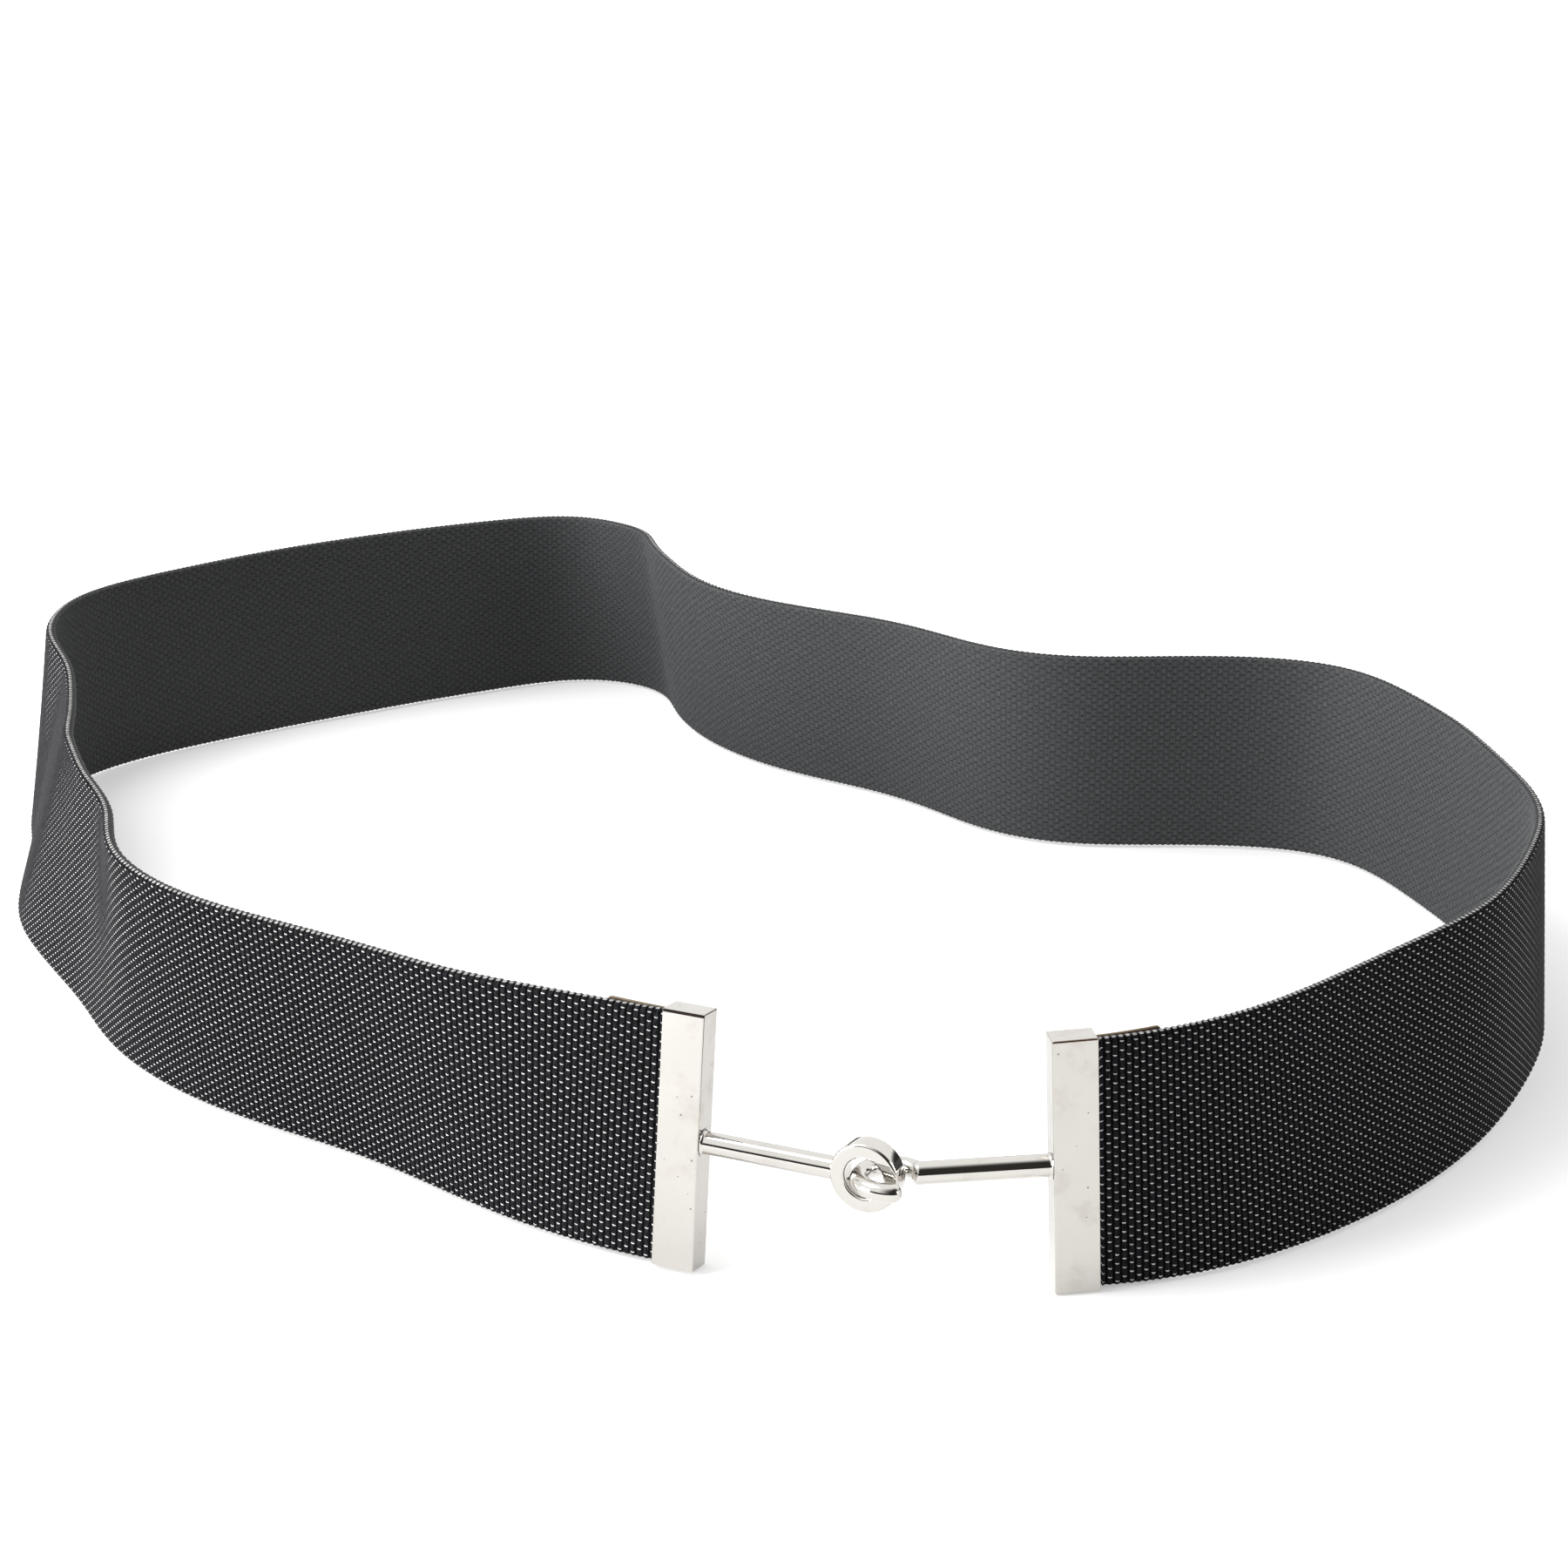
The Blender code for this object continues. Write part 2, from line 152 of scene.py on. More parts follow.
# Meshes from arrays


def grid_quads(rows: int, columns: int, wrap_rows: bool = False, wrap_columns: bool = False) -> np.ndarray:
    """Join each point of a grid to the next in its row and column.

    Args:
        rows: number of rows.
        columns: number of points in a row.
        wrap_rows: the last row joins the first.
        wrap_columns: the last point of a row joins its first.

    Returns:
        Four point numbers for each quad.
    """
    row = np.arange(rows if wrap_rows else rows - 1)
    column = np.arange(columns if wrap_columns else columns - 1)
    row, column = np.meshgrid(row, column, indexing="ij")
    after_row, after_column = (row + 1) % rows, (column + 1) % columns
    corners = (
        row * columns + column,
        row * columns + after_column,
        after_row * columns + after_column,
        after_row * columns + column,
    )
    return np.stack(corners, axis=-1).reshape(-1, 4)


def signed_volume(points: np.ndarray, faces: np.ndarray) -> float:
    """Sum of the signed pyramids from the origin to each face, as a fan of triangles.

    Args:
        points: the surface's points.
        faces: point numbers, as many for each face.

    Returns:
        The volume, below zero where the faces point inwards.
    """
    first = points[faces[:, 0]]
    total = 0.0
    for k in range(1, faces.shape[1] - 1):
        total += float(np.einsum("ij,ij->", first, np.cross(points[faces[:, k]], points[faces[:, k + 1]])))
    return total / 6


def quarter_round(share: np.ndarray, least: float = 0.0) -> np.ndarray:
    """Height of a quarter circle above its foot: the root of one minus the square of what is left.

    Args:
        share: how far along it, from 0 at its foot to 1 at its crown, where it goes on level.
        least: square of the least height.

    Returns:
        The height, as a share of the circle's radius.
    """
    return np.sqrt(np.clip(1 - (1 - np.clip(share, 0, 1)) ** 2, least, 1))


@dataclass
class Shell:
    """A closed surface as arrays: points, quads, triangles, a weave position at each point, face finishes."""

    points: np.ndarray
    quads: np.ndarray
    triangles: np.ndarray = field(default_factory=lambda: np.zeros((0, 3), int))
    lattice: np.ndarray | None = None
    finish: np.ndarray | None = None

    def outward(self) -> "Shell":
        """Turn the faces round if they point inwards.

        Returns:
            The same shell.
        """
        volume = signed_volume(self.points, self.quads)
        if len(self.triangles):
            volume += signed_volume(self.points, self.triangles)
        if volume < 0:
            self.quads = self.quads[:, ::-1]
            self.triangles = self.triangles[:, ::-1]
        return self


def carried(sections: np.ndarray, top: int) -> Shell:
    """Close a section carried along a path: quads round it, and a cap over each end.

    A cap joins the points that lie level on the section's two sides, with a triangle at its
    foot and another at its top.

    Args:
        sections: points, by place along the path and then round the section from its foot.
        top: number of the section's topmost point, opposite its foot.

    Returns:
        The closed shell.
    """
    rows, columns = sections.shape[:2]
    rising = np.arange(1, top)
    falling = columns - rising
    cap = np.column_stack((rising[:-1], falling[:-1], falling[1:], rising[1:]))
    tips = np.array(((0, falling[0], rising[0]), (top, rising[-1], falling[-1])))
    last = (rows - 1) * columns
    return Shell(
        sections.reshape(-1, 3),
        np.vstack((grid_quads(rows, columns, wrap_columns=True), cap, cap[:, ::-1] + last)),
        np.vstack((tips, tips[:, ::-1] + last)),
    )


def join(shells: list[Shell]) -> Shell:
    """Put closed shells into one set of arrays.

    Args:
        shells: shells with no lattice or finish numbers.

    Returns:
        One shell that holds them all.
    """
    firsts = np.cumsum([0] + [len(s.points) for s in shells[:-1]])
    return Shell(
        np.vstack([s.points for s in shells]),
        np.vstack([s.quads + first for s, first in zip(shells, firsts)]),
        np.vstack([s.triangles + first for s, first in zip(shells, firsts)]),
    )


def placed(name: str, data: bpy.types.ID) -> bpy.types.Object:
    """Put an object into the scene.

    Args:
        name: what it is called.
        data: its mesh, light or camera.

    Returns:
        The object.
    """
    thing = bpy.data.objects.new(name, data)
    bpy.context.scene.collection.objects.link(thing)
    return thing


def piece_from(name: str, shell: Shell, finishes: list[bpy.types.Material]) -> bpy.types.Object:
    """Make a piece of the belt from a shell.

    Args:
        name: the piece's name.
        shell: its surface.
        finishes: its materials, in the order of the shell's finish numbers.

    Returns:
        The piece, riding on the belt's body.
    """
    counts = np.concatenate((np.full(len(shell.quads), 4), np.full(len(shell.triangles), 3)))
    corners = np.concatenate((shell.quads.ravel(), shell.triangles.ravel())).astype(np.int32)
    mesh = bpy.data.meshes.new(name)
    mesh.vertices.add(len(shell.points))
    mesh.vertices.foreach_set("co", shell.points.astype(np.float32).ravel())
    mesh.loops.add(len(corners))
    mesh.loops.foreach_set("vertex_index", corners)
    mesh.polygons.add(len(counts))
    mesh.polygons.foreach_set("loop_start", np.concatenate(([0], np.cumsum(counts)[:-1])).astype(np.int32))
    if shell.finish is not None:
        mesh.polygons.foreach_set("material_index", shell.finish.astype(np.int32))
    mesh.update(calc_edges=True)
    if shell.lattice is not None:
        layer = mesh.uv_layers.new(name="weave")
        layer.data.foreach_set("uv", shell.lattice[corners].astype(np.float32).ravel())
    mesh.shade_smooth()
    mesh.set_sharp_from_angle(angle=math.radians(SHARP_ANGLE))
    for finish in finishes:
        mesh.materials.append(finish)
    piece = placed(name, mesh)
    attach(piece, BODY)
    LOG.info("%s: %d triangles", name, 2 * len(shell.quads) + len(shell.triangles))
    return piece


# The line that the webbing stands on


LOOP_COLUMNS = ("share", "heading", "lean")
LOOP = (
    (0.000, 155.5, -7),
    (0.015, 148.5, -5),
    (0.050, 137.0, 4),
    (0.090, 146.0, 7),
    (0.135, 129.0, 4),
    (0.165, 115.0, -6),
    (0.190, 118.5, -9),
    (0.215, 115.0, -14),
    (0.240, 100.0, -17),
    (0.265, 96.0, -15),
    (0.290, 102.0, -10),
    (0.315, 79.0, -5),
    (0.340, 50.5, 1),
    (0.365, 38.0, 4),
    (0.395, 34.5, 8),
    (0.435, 30.5, 5),
    (0.470, 18.0, -1),
    (0.495, -34.0, -7),
    (0.515, -76.5, -8),
    (0.535, -69.5, -8),
    (0.560, -53.0, -10),
    (0.595, -35.0, -8),
    (0.635, -50.5, -4),
    (0.680, -1.5, 0),
    (0.715, -14.5, 1),
    (0.745, -63.5, 0),
    (0.775, -73.5, 0),
    (0.810, -80.0, -3),
    (0.850, -108.0, -4),
    (0.890, -119.0, -4),
    (0.930, -133.5, -10),
    (0.970, -150.5, -6),
    (1.000, -172.0, -2),
)


def heading_vector(degrees: float) -> np.ndarray:
    """Unit vector in plan."""
    return np.array((math.cos(math.radians(degrees)), math.sin(math.radians(degrees)), 0.0))


def smooth_column(shares: np.ndarray, values: np.ndarray, at: np.ndarray) -> np.ndarray:
    """Smooth curve through the rows of a table: cubic pieces that share their slopes.

    Args:
        shares: where the rows stand.
        values: what the rows hold.
        at: where the curve is wanted.

    Returns:
        The curve's value at each place.
    """
    slopes = np.gradient(values, shares)
    row = np.clip(np.searchsorted(shares, at) - 1, 0, len(shares) - 2)
    span = shares[row + 1] - shares[row]
    t = (at - shares[row]) / span
    start = (2 * t**3 - 3 * t**2 + 1) * values[row] + (t**3 - 2 * t**2 + t) * span * slopes[row]
    end = (3 * t**2 - 2 * t**3) * values[row + 1] + (t**3 - t**2) * span * slopes[row + 1]
    return start + end


@dataclass
class ClaspPlan:
    """Plan of the clasp at rod height, from the ring-side bar to the hook-side bar."""

    bar_width: float = 6.6 * MM
    bar_height: float = 38.6 * MM
    ring_rod_length: float = 20.1 * MM
    hook_rod_length: float = 18.7 * MM
    rod_radius: float = 1.65 * MM
    rod_seat: float = 2.1 * MM
    ring_radius: float = 5.2 * MM
    hole_radius: float = 3.0 * MM
    ring_thickness: float = 3.35 * MM
    wire_radius: float = 1.35 * MM
    hook_clearance: float = 0.8 * MM
    hook_pull: float = 0.55
    hook_root_angle: float = 17.0
    hook_rake: float = 1.8

    def place(self, headings: np.ndarray, leans: np.ndarray) -> np.ndarray:
        """Lay out the clasp from the webbing's headings and leans at its two ends.

        Args:
            headings: the table's headings.
            leans: the table's leans.

        Returns:
            Plan position of the webbing's far end, from the foot of the ring-side bar.
        """
        height = self.bar_height / 2
        self.ring_way = -heading_vector(headings[0])
        self.hook_way = heading_vector(headings[-1])
        near, far = (
            heading_vector(heading + 90) * height * math.tan(math.radians(lean))
            for heading, lean in ((headings[0], leans[0]), (headings[-1], leans[-1]))
        )
        self.ring_bar = near
        self.ring_centre = near + self.ring_way * (self.bar_width + self.ring_rod_length + self.ring_radius)
        rim_middle = (self.ring_radius + self.hole_radius) / 2
        crossing = rim_middle + self.hook_pull * (self.hole_radius - self.wire_radius)
        corner = (self.ring_radius - self.hole_radius) / 2 + crossing
        keep = self.wire_radius + self.hook_clearance
        square = corner**2 + (self.ring_thickness / 2) ** 2 - keep**2
        self.hook_radius = square / (2 * (corner - keep))
        self.hook_centre = self.ring_centre + self.ring_way * (rim_middle - crossing + self.hook_radius)
        back = -self.hook_way
        self.root_angle = math.degrees(math.atan2(back[1], back[0])) + self.hook_root_angle
        self.hook_root = self.hook_centre + heading_vector(self.root_angle) * self.hook_radius
        self.hook_bar = self.hook_root - self.hook_way * (self.hook_rod_length + self.bar_width)
        raked = self.hook_way * height * math.tan(math.radians(self.hook_rake))
        return (self.hook_bar - far - raked)[:2]


@dataclass
class BeltLine:
    """The foot of the webbing's middle surface in plan, and the line that rises from it."""

    length: float = 806 * MM
    width: float = 38 * MM
    thickness: float = 1.8 * MM
    foot_height: float = 0.3 * MM
    samples: int = 1600
    closing_passes: int = 8
    closing_step: float = 0.1
    rake_share: float = 0.12
    clasp: ClaspPlan = field(default_factory=ClaspPlan)

    def __post_init__(self) -> None:
        """Read the table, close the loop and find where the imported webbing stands."""
        table = dict(zip(LOOP_COLUMNS, np.array(LOOP).T))
        self.shares, self.headings, self.leans = (table[name] for name in LOOP_COLUMNS)
        self.at = np.linspace(0.0, 1.0, self.samples + 1)
        self.turn = self.close(self.clasp.place(self.headings, self.leans))
        self.shift = np.zeros(3)
        self.shift = self.packed_place()

    def heading_at(self, share: np.ndarray, turn: np.ndarray) -> np.ndarray:
        """The table's headings in radians, eased by two slow waves that leave both ends alone."""
        eased = turn[0] * np.sin(math.pi * share) + turn[1] * np.sin(2 * math.pi * share)
        return np.radians(smooth_column(self.shares, self.headings, share) + eased)

    def plan(self, turn: np.ndarray) -> np.ndarray:
        """Plan positions along the webbing: the running sum of its short steps.

        Args:
            turn: heights of the two easing waves, in degrees.

        Returns:
            A position for each sample, the first of them zero.
        """
        heading = self.heading_at(self.at, turn)
        steps = np.column_stack((np.cos(heading), np.sin(heading)))
        middles = (steps[1:] + steps[:-1]) / 2 * self.length / self.samples
        return np.vstack((np.zeros(2), np.cumsum(middles, axis=0)))

    def close(self, target: np.ndarray) -> np.ndarray:
        """Ease the headings until the webbing ends at the hook-side bar.

        Args:
            target: plan position of the webbing's far end.

        Returns:
            Heights of the two easing waves, in degrees.
        """
        turn = np.zeros(2)
        for _ in range(self.closing_passes):
            end = self.plan(turn)[-1]
            slopes = [(self.plan(turn + step)[-1] - end) / self.closing_step
                      for step in np.eye(2) * self.closing_step]
            turn = turn - np.linalg.solve(np.array(slopes).T, end - target)
        return turn

    def packed_place(self) -> np.ndarray:
        """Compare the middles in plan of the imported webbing's box and of this line's.

        Returns:
            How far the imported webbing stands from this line.
        """
        foot, _, rise, normal = self.frames(np.linspace(0.0, self.length, self.samples))
        half = self.thickness / 2
        walls = np.vstack([foot + rise * h + normal * n for h in (0.0, self.width) for n in (-half, half)])
        low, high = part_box("webbing")
        middle = (np.array(low) + np.array(high)) / 2 - (walls.min(axis=0) + walls.max(axis=0)) / 2
        return middle * (1.0, 1.0, 0.0)

    def frames(self, distances: np.ndarray) -> tuple[np.ndarray, np.ndarray, np.ndarray, np.ndarray]:
        """Where the webbing stands at distances along it; past either end it runs on straight.

        Args:
            distances: how far along the webbing.

        Returns:
            Foot, way of travel, rising line and outward normal at each distance.
        """
        share = np.clip(distances / self.length, 0.0, 1.0)
        plan = self.plan(self.turn)
        heading = self.heading_at(share, self.turn)
        lean = np.radians(smooth_column(self.shares, self.leans, share))
        t = np.clip((share - 1.0) / self.rake_share + 1.0, 0.0, 1.0)
        rake = math.radians(self.clasp.hook_rake) * t * t * (3 - 2 * t)
        zero = np.zeros_like(share)
        travel = np.column_stack((np.cos(heading), np.sin(heading), zero))
        outward = np.column_stack((-np.sin(heading), np.cos(heading), zero))
        rise = outward * np.sin(lean)[:, None] + UP * np.cos(lean)[:, None]
        normal = np.cross(rise, travel)
        rise = rise * np.cos(rake)[:, None] + travel * np.sin(rake)[:, None]
        foot = np.column_stack((np.interp(share, self.at, plan[:, 0]),
                                np.interp(share, self.at, plan[:, 1]),
                                zero + self.foot_height))
        foot += travel * (distances - share * self.length)[:, None] + self.shift
        return foot, travel, rise, normal

    def surface(self, distances: np.ndarray, height: np.ndarray, reach: np.ndarray) -> np.ndarray:
        """Points beside the line: from its foot, so far up the rising line and so far out.

        Args:
            distances: how far along the webbing, one for each row.
            height: how far up, by row and column.
            reach: how far out along the normal, by row and column.

        Returns:
            A point for each row and column.
        """
        foot, _, rise, normal = self.frames(distances)
        return foot[:, None] + rise[:, None] * height[..., None] + normal[:, None] * reach[..., None]


# Finishes


@dataclass(frozen=True)
class WovenFace:
    """One face of webbing woven from stout black yarn, with fine pale threads that cross each rib.

    The black yarns stand side by side as rounded ribs across the webbing's width. A pale thread
    pinches each rib about every 1.4 mm, and neighbouring ribs are pinched half a step apart, so
    the eye sees small dashes in a checkerboard. The gap between two ribs is darkened with painted
    shade, and on the inner face the dashes are darker than the yarn: painted shade in the pinches.
    """

    name: str
    yarn_dark: str
    yarn_light: str
    # colour of the pale thread; on the inner face a dark colour, painted shade in the pinched pits
    thread_and_painted_pit_shade: str
    thread_half_width: float    # in ribs
    thread_half_height: float   # in pinches
    step_shift: float           # which of the two sets of ribs is pinched first
    roughness: float
    specular: float
    sheen: float
    sheen_roughness: float = 0.25
    fibres_per_rib: float = 7.0
    fibre_stretch: float = 1.3
    fibre_detail: float = 2.0
    fibre_roughness: float = 0.6
    thread_slant: float = 0.07
    thread_cup: float = 0.45
    painted_gap_shade: float = 0.12          # painted shade between two ribs, as a share of the crest's colour
    edge_half_width: float = 0.3     # in ribs, of the thread that turns over the selvedge
    edge_half_height: float = 0.1    # in pinches
    edge_reach: float = 0.3          # in pinches
    edge_thread_shade: float = 0.55
    edge_yarn_lift: float = 1.2      # yarn colour along the selvedge, against the face's
    outline_power: float = 3.0       # how square a thread's outline is
    outline_blur: float = 0.3        # of it, either side
    yarn_relief: float = 0.06 * MM
    fibre_relief: float = 0.35       # against the thread's
    thread_chance: tuple[float, float] = (0.72, 1.1)     # darkest and palest thread, against its colour
    fibre_span: tuple[float, float] = (0.3, 0.7)         # of the noise, from dark yarn to light
    crest_span: tuple[float, float] = (0.16, 0.46)       # in ribs, from the crest's colour to the gap's painted shade

    def outline(
        self, add: Adder, across: Socket, up: Socket, half_width: float, half_height: float
    ) -> Socket:
        """A thread's rounded oblong: a power of each distance from its middle over its half size, summed.

        Args:
            add: adds a node to the material.
            across: distance from the thread's middle, in ribs.
            up: the same up the rib, in pinches.
            half_width: half its size across, in ribs.
            half_height: half its size up, in pinches.

        Returns:
            Under 1 within the thread, 1 at its outline, and more outside it.
        """
        terms = []
        for value, half in ((across, half_width), (up, half_height)):
            share = add("Math", add("Math", value, half, operation="DIVIDE"), operation="ABSOLUTE")
            terms.append(add("Math", share, self.outline_power, operation="POWER"))
        return add("Math", *terms, operation="ADD")

    def build(self) -> bpy.types.Material:
        """Make the material.

        Returns:
            The finish, which reads the weave map: ribs along, pinches up.
        """
        material, add, shader = new_material(self.name)
        weave = add("UVMap", uv_map="weave")
        along = add("SeparateXYZ", weave)
        up = along.node.outputs[1]
        rib = add("Math", along, operation="FLOOR")
        across = add("Math", add("Math", along, operation="FRACT"), 0.5, operation="SUBTRACT")

        # Every other rib is pinched half a step higher
        odd = add("Math", add("Math", rib, self.step_shift, operation="ADD"), 2.0, operation="MODULO")
        raised = add("Math", add("Math", odd, 0.5, up, operation="MULTIPLY_ADD"), 0.5, operation="ADD")
        pinch = add("Math", raised, operation="FLOOR")
        level = add("Math", add("Math", raised, operation="FRACT"), 0.5, operation="SUBTRACT")

        # The thread that crosses the rib, slanted a little and cupped; on the inner face its dark dash is
        # painted shade in the pinch
        slanted = add("Math", across, -self.thread_slant, level, operation="MULTIPLY_ADD")
        square = add("Math", across, 2.0, operation="POWER")
        slanted = add("Math", square, -self.thread_cup, slanted, operation="MULTIPLY_ADD")
        off = self.outline(add, across, slanted, self.thread_half_width, self.thread_half_height)

        # On every rib a thread turns over the webbing's edge
        from_middle = add("Math", add("Math", up, PINCHES / 2, operation="SUBTRACT"), operation="ABSOLUTE")
        to_edge = add("Math", PINCHES / 2, from_middle, operation="SUBTRACT")
        edge_off = self.outline(add, across, to_edge, self.edge_half_width, self.edge_half_height)
        off = add("Math", off, edge_off, operation="MINIMUM")
        thread_and_painted_pit_shade = add("MapRange", off, 1 - self.outline_blur, 1 + self.outline_blur, 1.0, 0.0, **SMOOTH)

        # Each thread is a little paler or darker than the next; along the edge the threads are duller and the
        # yarn is lighter
        chance = add("TexWhiteNoise", add("CombineXYZ", rib, pinch), noise_dimensions="2D")
        chance = add("MapRange", chance, 0.0, 1.0, *self.thread_chance)
        rim = add("MapRange", to_edge, 0.0, self.edge_reach, 1.0, 0.0, **SMOOTH)
        thread_shade = add("MapRange", rim, 0.0, 1.0, 1.0, self.edge_thread_shade)
        thread_shade = add("Math", chance, thread_shade, operation="MULTIPLY")
        yarn_lift = add("MapRange", rim, 0.0, 1.0, 1.0, self.edge_yarn_lift)

        # Fibres that run up the rib, and painted shade in the gap between two ribs
        stretch = (self.fibres_per_rib, self.fibre_stretch, 1.0)
        stretched = add("VectorMath", weave, stretch, operation="MULTIPLY")
        fibre = add("TexNoise", stretched, noise_dimensions="2D", links={
            "Scale": 1.0, "Detail": self.fibre_detail, "Roughness": self.fibre_roughness})
        gap = add("Math", across, operation="ABSOLUTE")
        rib_painted_shade = add("MapRange", gap, *self.crest_span, 1.0, self.painted_gap_shade, **SMOOTH)

        yarn_mix = add("MapRange", fibre, *self.fibre_span)
        dark, light = linear(self.yarn_dark), linear(self.yarn_light)
        yarn = add("Mix", yarn_mix, links={6: dark, 7: light}, **TWO_COLOURS)
        # the yarn's colour times the gap's painted shade and the edge's lift
        painted_shade_and_edge_lift = add("Math", rib_painted_shade, yarn_lift, operation="MULTIPLY")
        yarn = add("VectorMath", yarn, links={"Scale": painted_shade_and_edge_lift}, operation="SCALE")
        bright = add("VectorMath", linear(self.thread_and_painted_pit_shade)[:3], links={"Scale": thread_shade}, operation="SCALE")
        colour = add("Mix", thread_and_painted_pit_shade, links={6: yarn, 7: bright}, **TWO_COLOURS)
        relief = add("Math", fibre, self.fibre_relief, thread_and_painted_pit_shade, operation="MULTIPLY_ADD")
        feed(shader, {
            "Base Color": colour,
            "Normal": add("Bump", 1.0, self.yarn_relief, links={"Height": relief}),
            "Roughness": self.roughness,
            "Specular IOR Level": self.specular,
            "Sheen Weight": self.sheen,
            "Sheen Roughness": self.sheen_roughness,
        })
        return material


@dataclass(frozen=True)
class Cloud:
    """A cloudy pattern in a finish."""

    size_mm: float            # of its largest patches
    detail: float             # how many times finer ones are laid over them
    roughness: float = 0.5    # how strongly those show

    def inputs(self) -> dict[str, float]:
        """What a noise texture takes, its scale worked out from the real size."""
        return {"Scale": 1 / (self.size_mm * MM), "Detail": self.detail, "Roughness": self.roughness}


@dataclass(frozen=True)
class PaintedReflectionLine:
    """A thin dark line along a bar's front top edge: a painted reflection of dark surroundings in the bevel.
    """

    colour: str
    front: tuple[float, float, float]    # normal of the face that it runs along
    rise: tuple[float, float, float]     # way up that face
    level: float                         # where it begins, along the rise from the frame's origin
    least_facing: float = 0.3            # cosine between a face and the front for the line to show on it

    def share(self, add: Adder, place: Socket) -> Socket:
        """Where the line lies.

        Args:
            add: adds a node to the material.
            place: Object coordinates.

        Returns:
            1 on the line, 0 off it.
        """
        facing = add("NewGeometry", output="True Normal")
        masks = []
        for vector, way, least in ((facing, self.front, self.least_facing), (place, self.rise, self.level)):
            along = add("VectorMath", vector, way, output="Value", operation="DOT_PRODUCT")
            masks.append(add("Math", along, least, operation="GREATER_THAN"))
        return add("Math", *masks, operation="MULTIPLY")


@dataclass(frozen=True)
class PolishedMetal:
    """Silver-coloured metal, ground and then buffed: the gloss wavers a little and scratches stay."""

    name: str
    colour: str
    roughness: float
    roughness_spread: float
    haze: Cloud                      # the duller and brighter patches
    scratches: Cloud                 # its size is a scratch's length
    scratch_depth: float
    scratch_stretch: tuple[float, float, float] = (6.0, 6.0, 1.0)    # upright, and a sixth as wide as long
    haze_span: tuple[float, float] = (0.3, 0.7)                      # of the noise, from bright to dull
    pit_spacing_mm: float = 1.6
    pit_size: float = 0.11           # in spacings
    pit_colour: str = "#857d73"
    stains: Cloud = Cloud(6.0, 5.0, 0.65)
    stain_span: tuple[float, float] = (0.5, 0.75)                    # of the noise, from clean to stained
    stain_colour: str = "#b4afa9"
    # painted reflection: a dark line along a bar's front top edge
    line: PaintedReflectionLine | None = None

    def build(self) -> bpy.types.Material:
        """Make the material.

        Returns:
            The finish, which reads Object coordinates.
        """
        material, add, shader = new_material(self.name)
        place = add("TexCoord", output="Object")
        haze = add("TexNoise", place, links=self.haze.inputs())
        bright, dull = self.roughness - self.roughness_spread, self.roughness + self.roughness_spread
        stretched = add("VectorMath", place, self.scratch_stretch, operation="MULTIPLY")
        scratches = add("TexNoise", stretched, links=self.scratches.inputs())
        feed(shader, {
            "Base Color": self.soiled(add, place),
            "Metallic": 1.0,
            "Roughness": add("MapRange", haze, *self.haze_span, bright, dull),
            "Normal": add("Bump", 1.0, self.scratch_depth, links={"Height": scratches}),
        })
        return material

    def soiled(self, add: Adder, place: Socket) -> Socket:
        """Colour of the metal, faintly stained, with a few pits and, on a bar, a painted dark reflection
        along one edge.

        Args:
            add: adds a node to the material.
            place: Object coordinates.

        Returns:
            The colour.
        """
        stain = add("TexNoise", place, links=self.stains.inputs())
        pits = {"Scale": 1 / (self.pit_spacing_mm * MM)}
        from_pit = add("TexVoronoi", place, links=pits, output="Distance")
        chance = add("SeparateXYZ", from_pit.node.outputs["Color"])
        pit_size = add("Math", chance, self.pit_size, operation="MULTIPLY")
        marks = [
            (add("MapRange", stain, *self.stain_span, **SMOOTH), self.stain_colour),
            (add("Math", from_pit, pit_size, operation="LESS_THAN"), self.pit_colour),
        ]
        # the painted dark reflection along a bar's front top edge
        if self.line is not None:
            marks.append((self.line.share(add, place), self.line.colour))
        colour = linear(self.colour)
        for share, mark in marks:
            colour = add("Mix", share, links={6: colour, 7: linear(mark)}, **TWO_COLOURS)
        return colour


@dataclass(frozen=True)
class CutLeather:
    """Brown vegetable-tanned leather: fine grain, warm uneven colour, and a paler cut edge on top."""

    name: str = "brown_leather_cut"
    dark: str = "#38281a"
    light: str = "#5f4730"
    cut_dark: str = "#4d402f"
    cut_light: str = "#8a795d"
    tint: Cloud = Cloud(1.4, 4.0)
    grain_mm: float = 0.35
    grain_depth: float = 0.05 * MM
    roughness: float = 0.6
    cut_facing: float = 0.4     # upward part of the normal from which a face is the cut edge

    def build(self) -> bpy.types.Material:
        """Make the material.

        Returns:
            The finish, which reads Object coordinates.
        """
        material, add, shader = new_material(self.name)
        place = add("TexCoord", output="Object")
        tint = add("TexNoise", place, links=self.tint.inputs())
        face, edge = (
            add("Mix", tint, links={6: linear(dark), 7: linear(light)}, **TWO_COLOURS)
            for dark, light in ((self.dark, self.light), (self.cut_dark, self.cut_light))
        )
        upward = add("SeparateXYZ", add("NewGeometry", output="True Normal"), output=2)
        cut = add("Math", upward, self.cut_facing, operation="GREATER_THAN")
        grain = add("TexVoronoi", place, links={"Scale": 1 / (self.grain_mm * MM)}, output="Distance")
        feed(shader, {
            "Base Color": add("Mix", cut, links={6: face, 7: edge}, **TWO_COLOURS),
            "Normal": add("Bump", 1.0, self.grain_depth, links={"Height": grain}),
            "Roughness": self.roughness,
        })
        return material


# The pieces of the belt


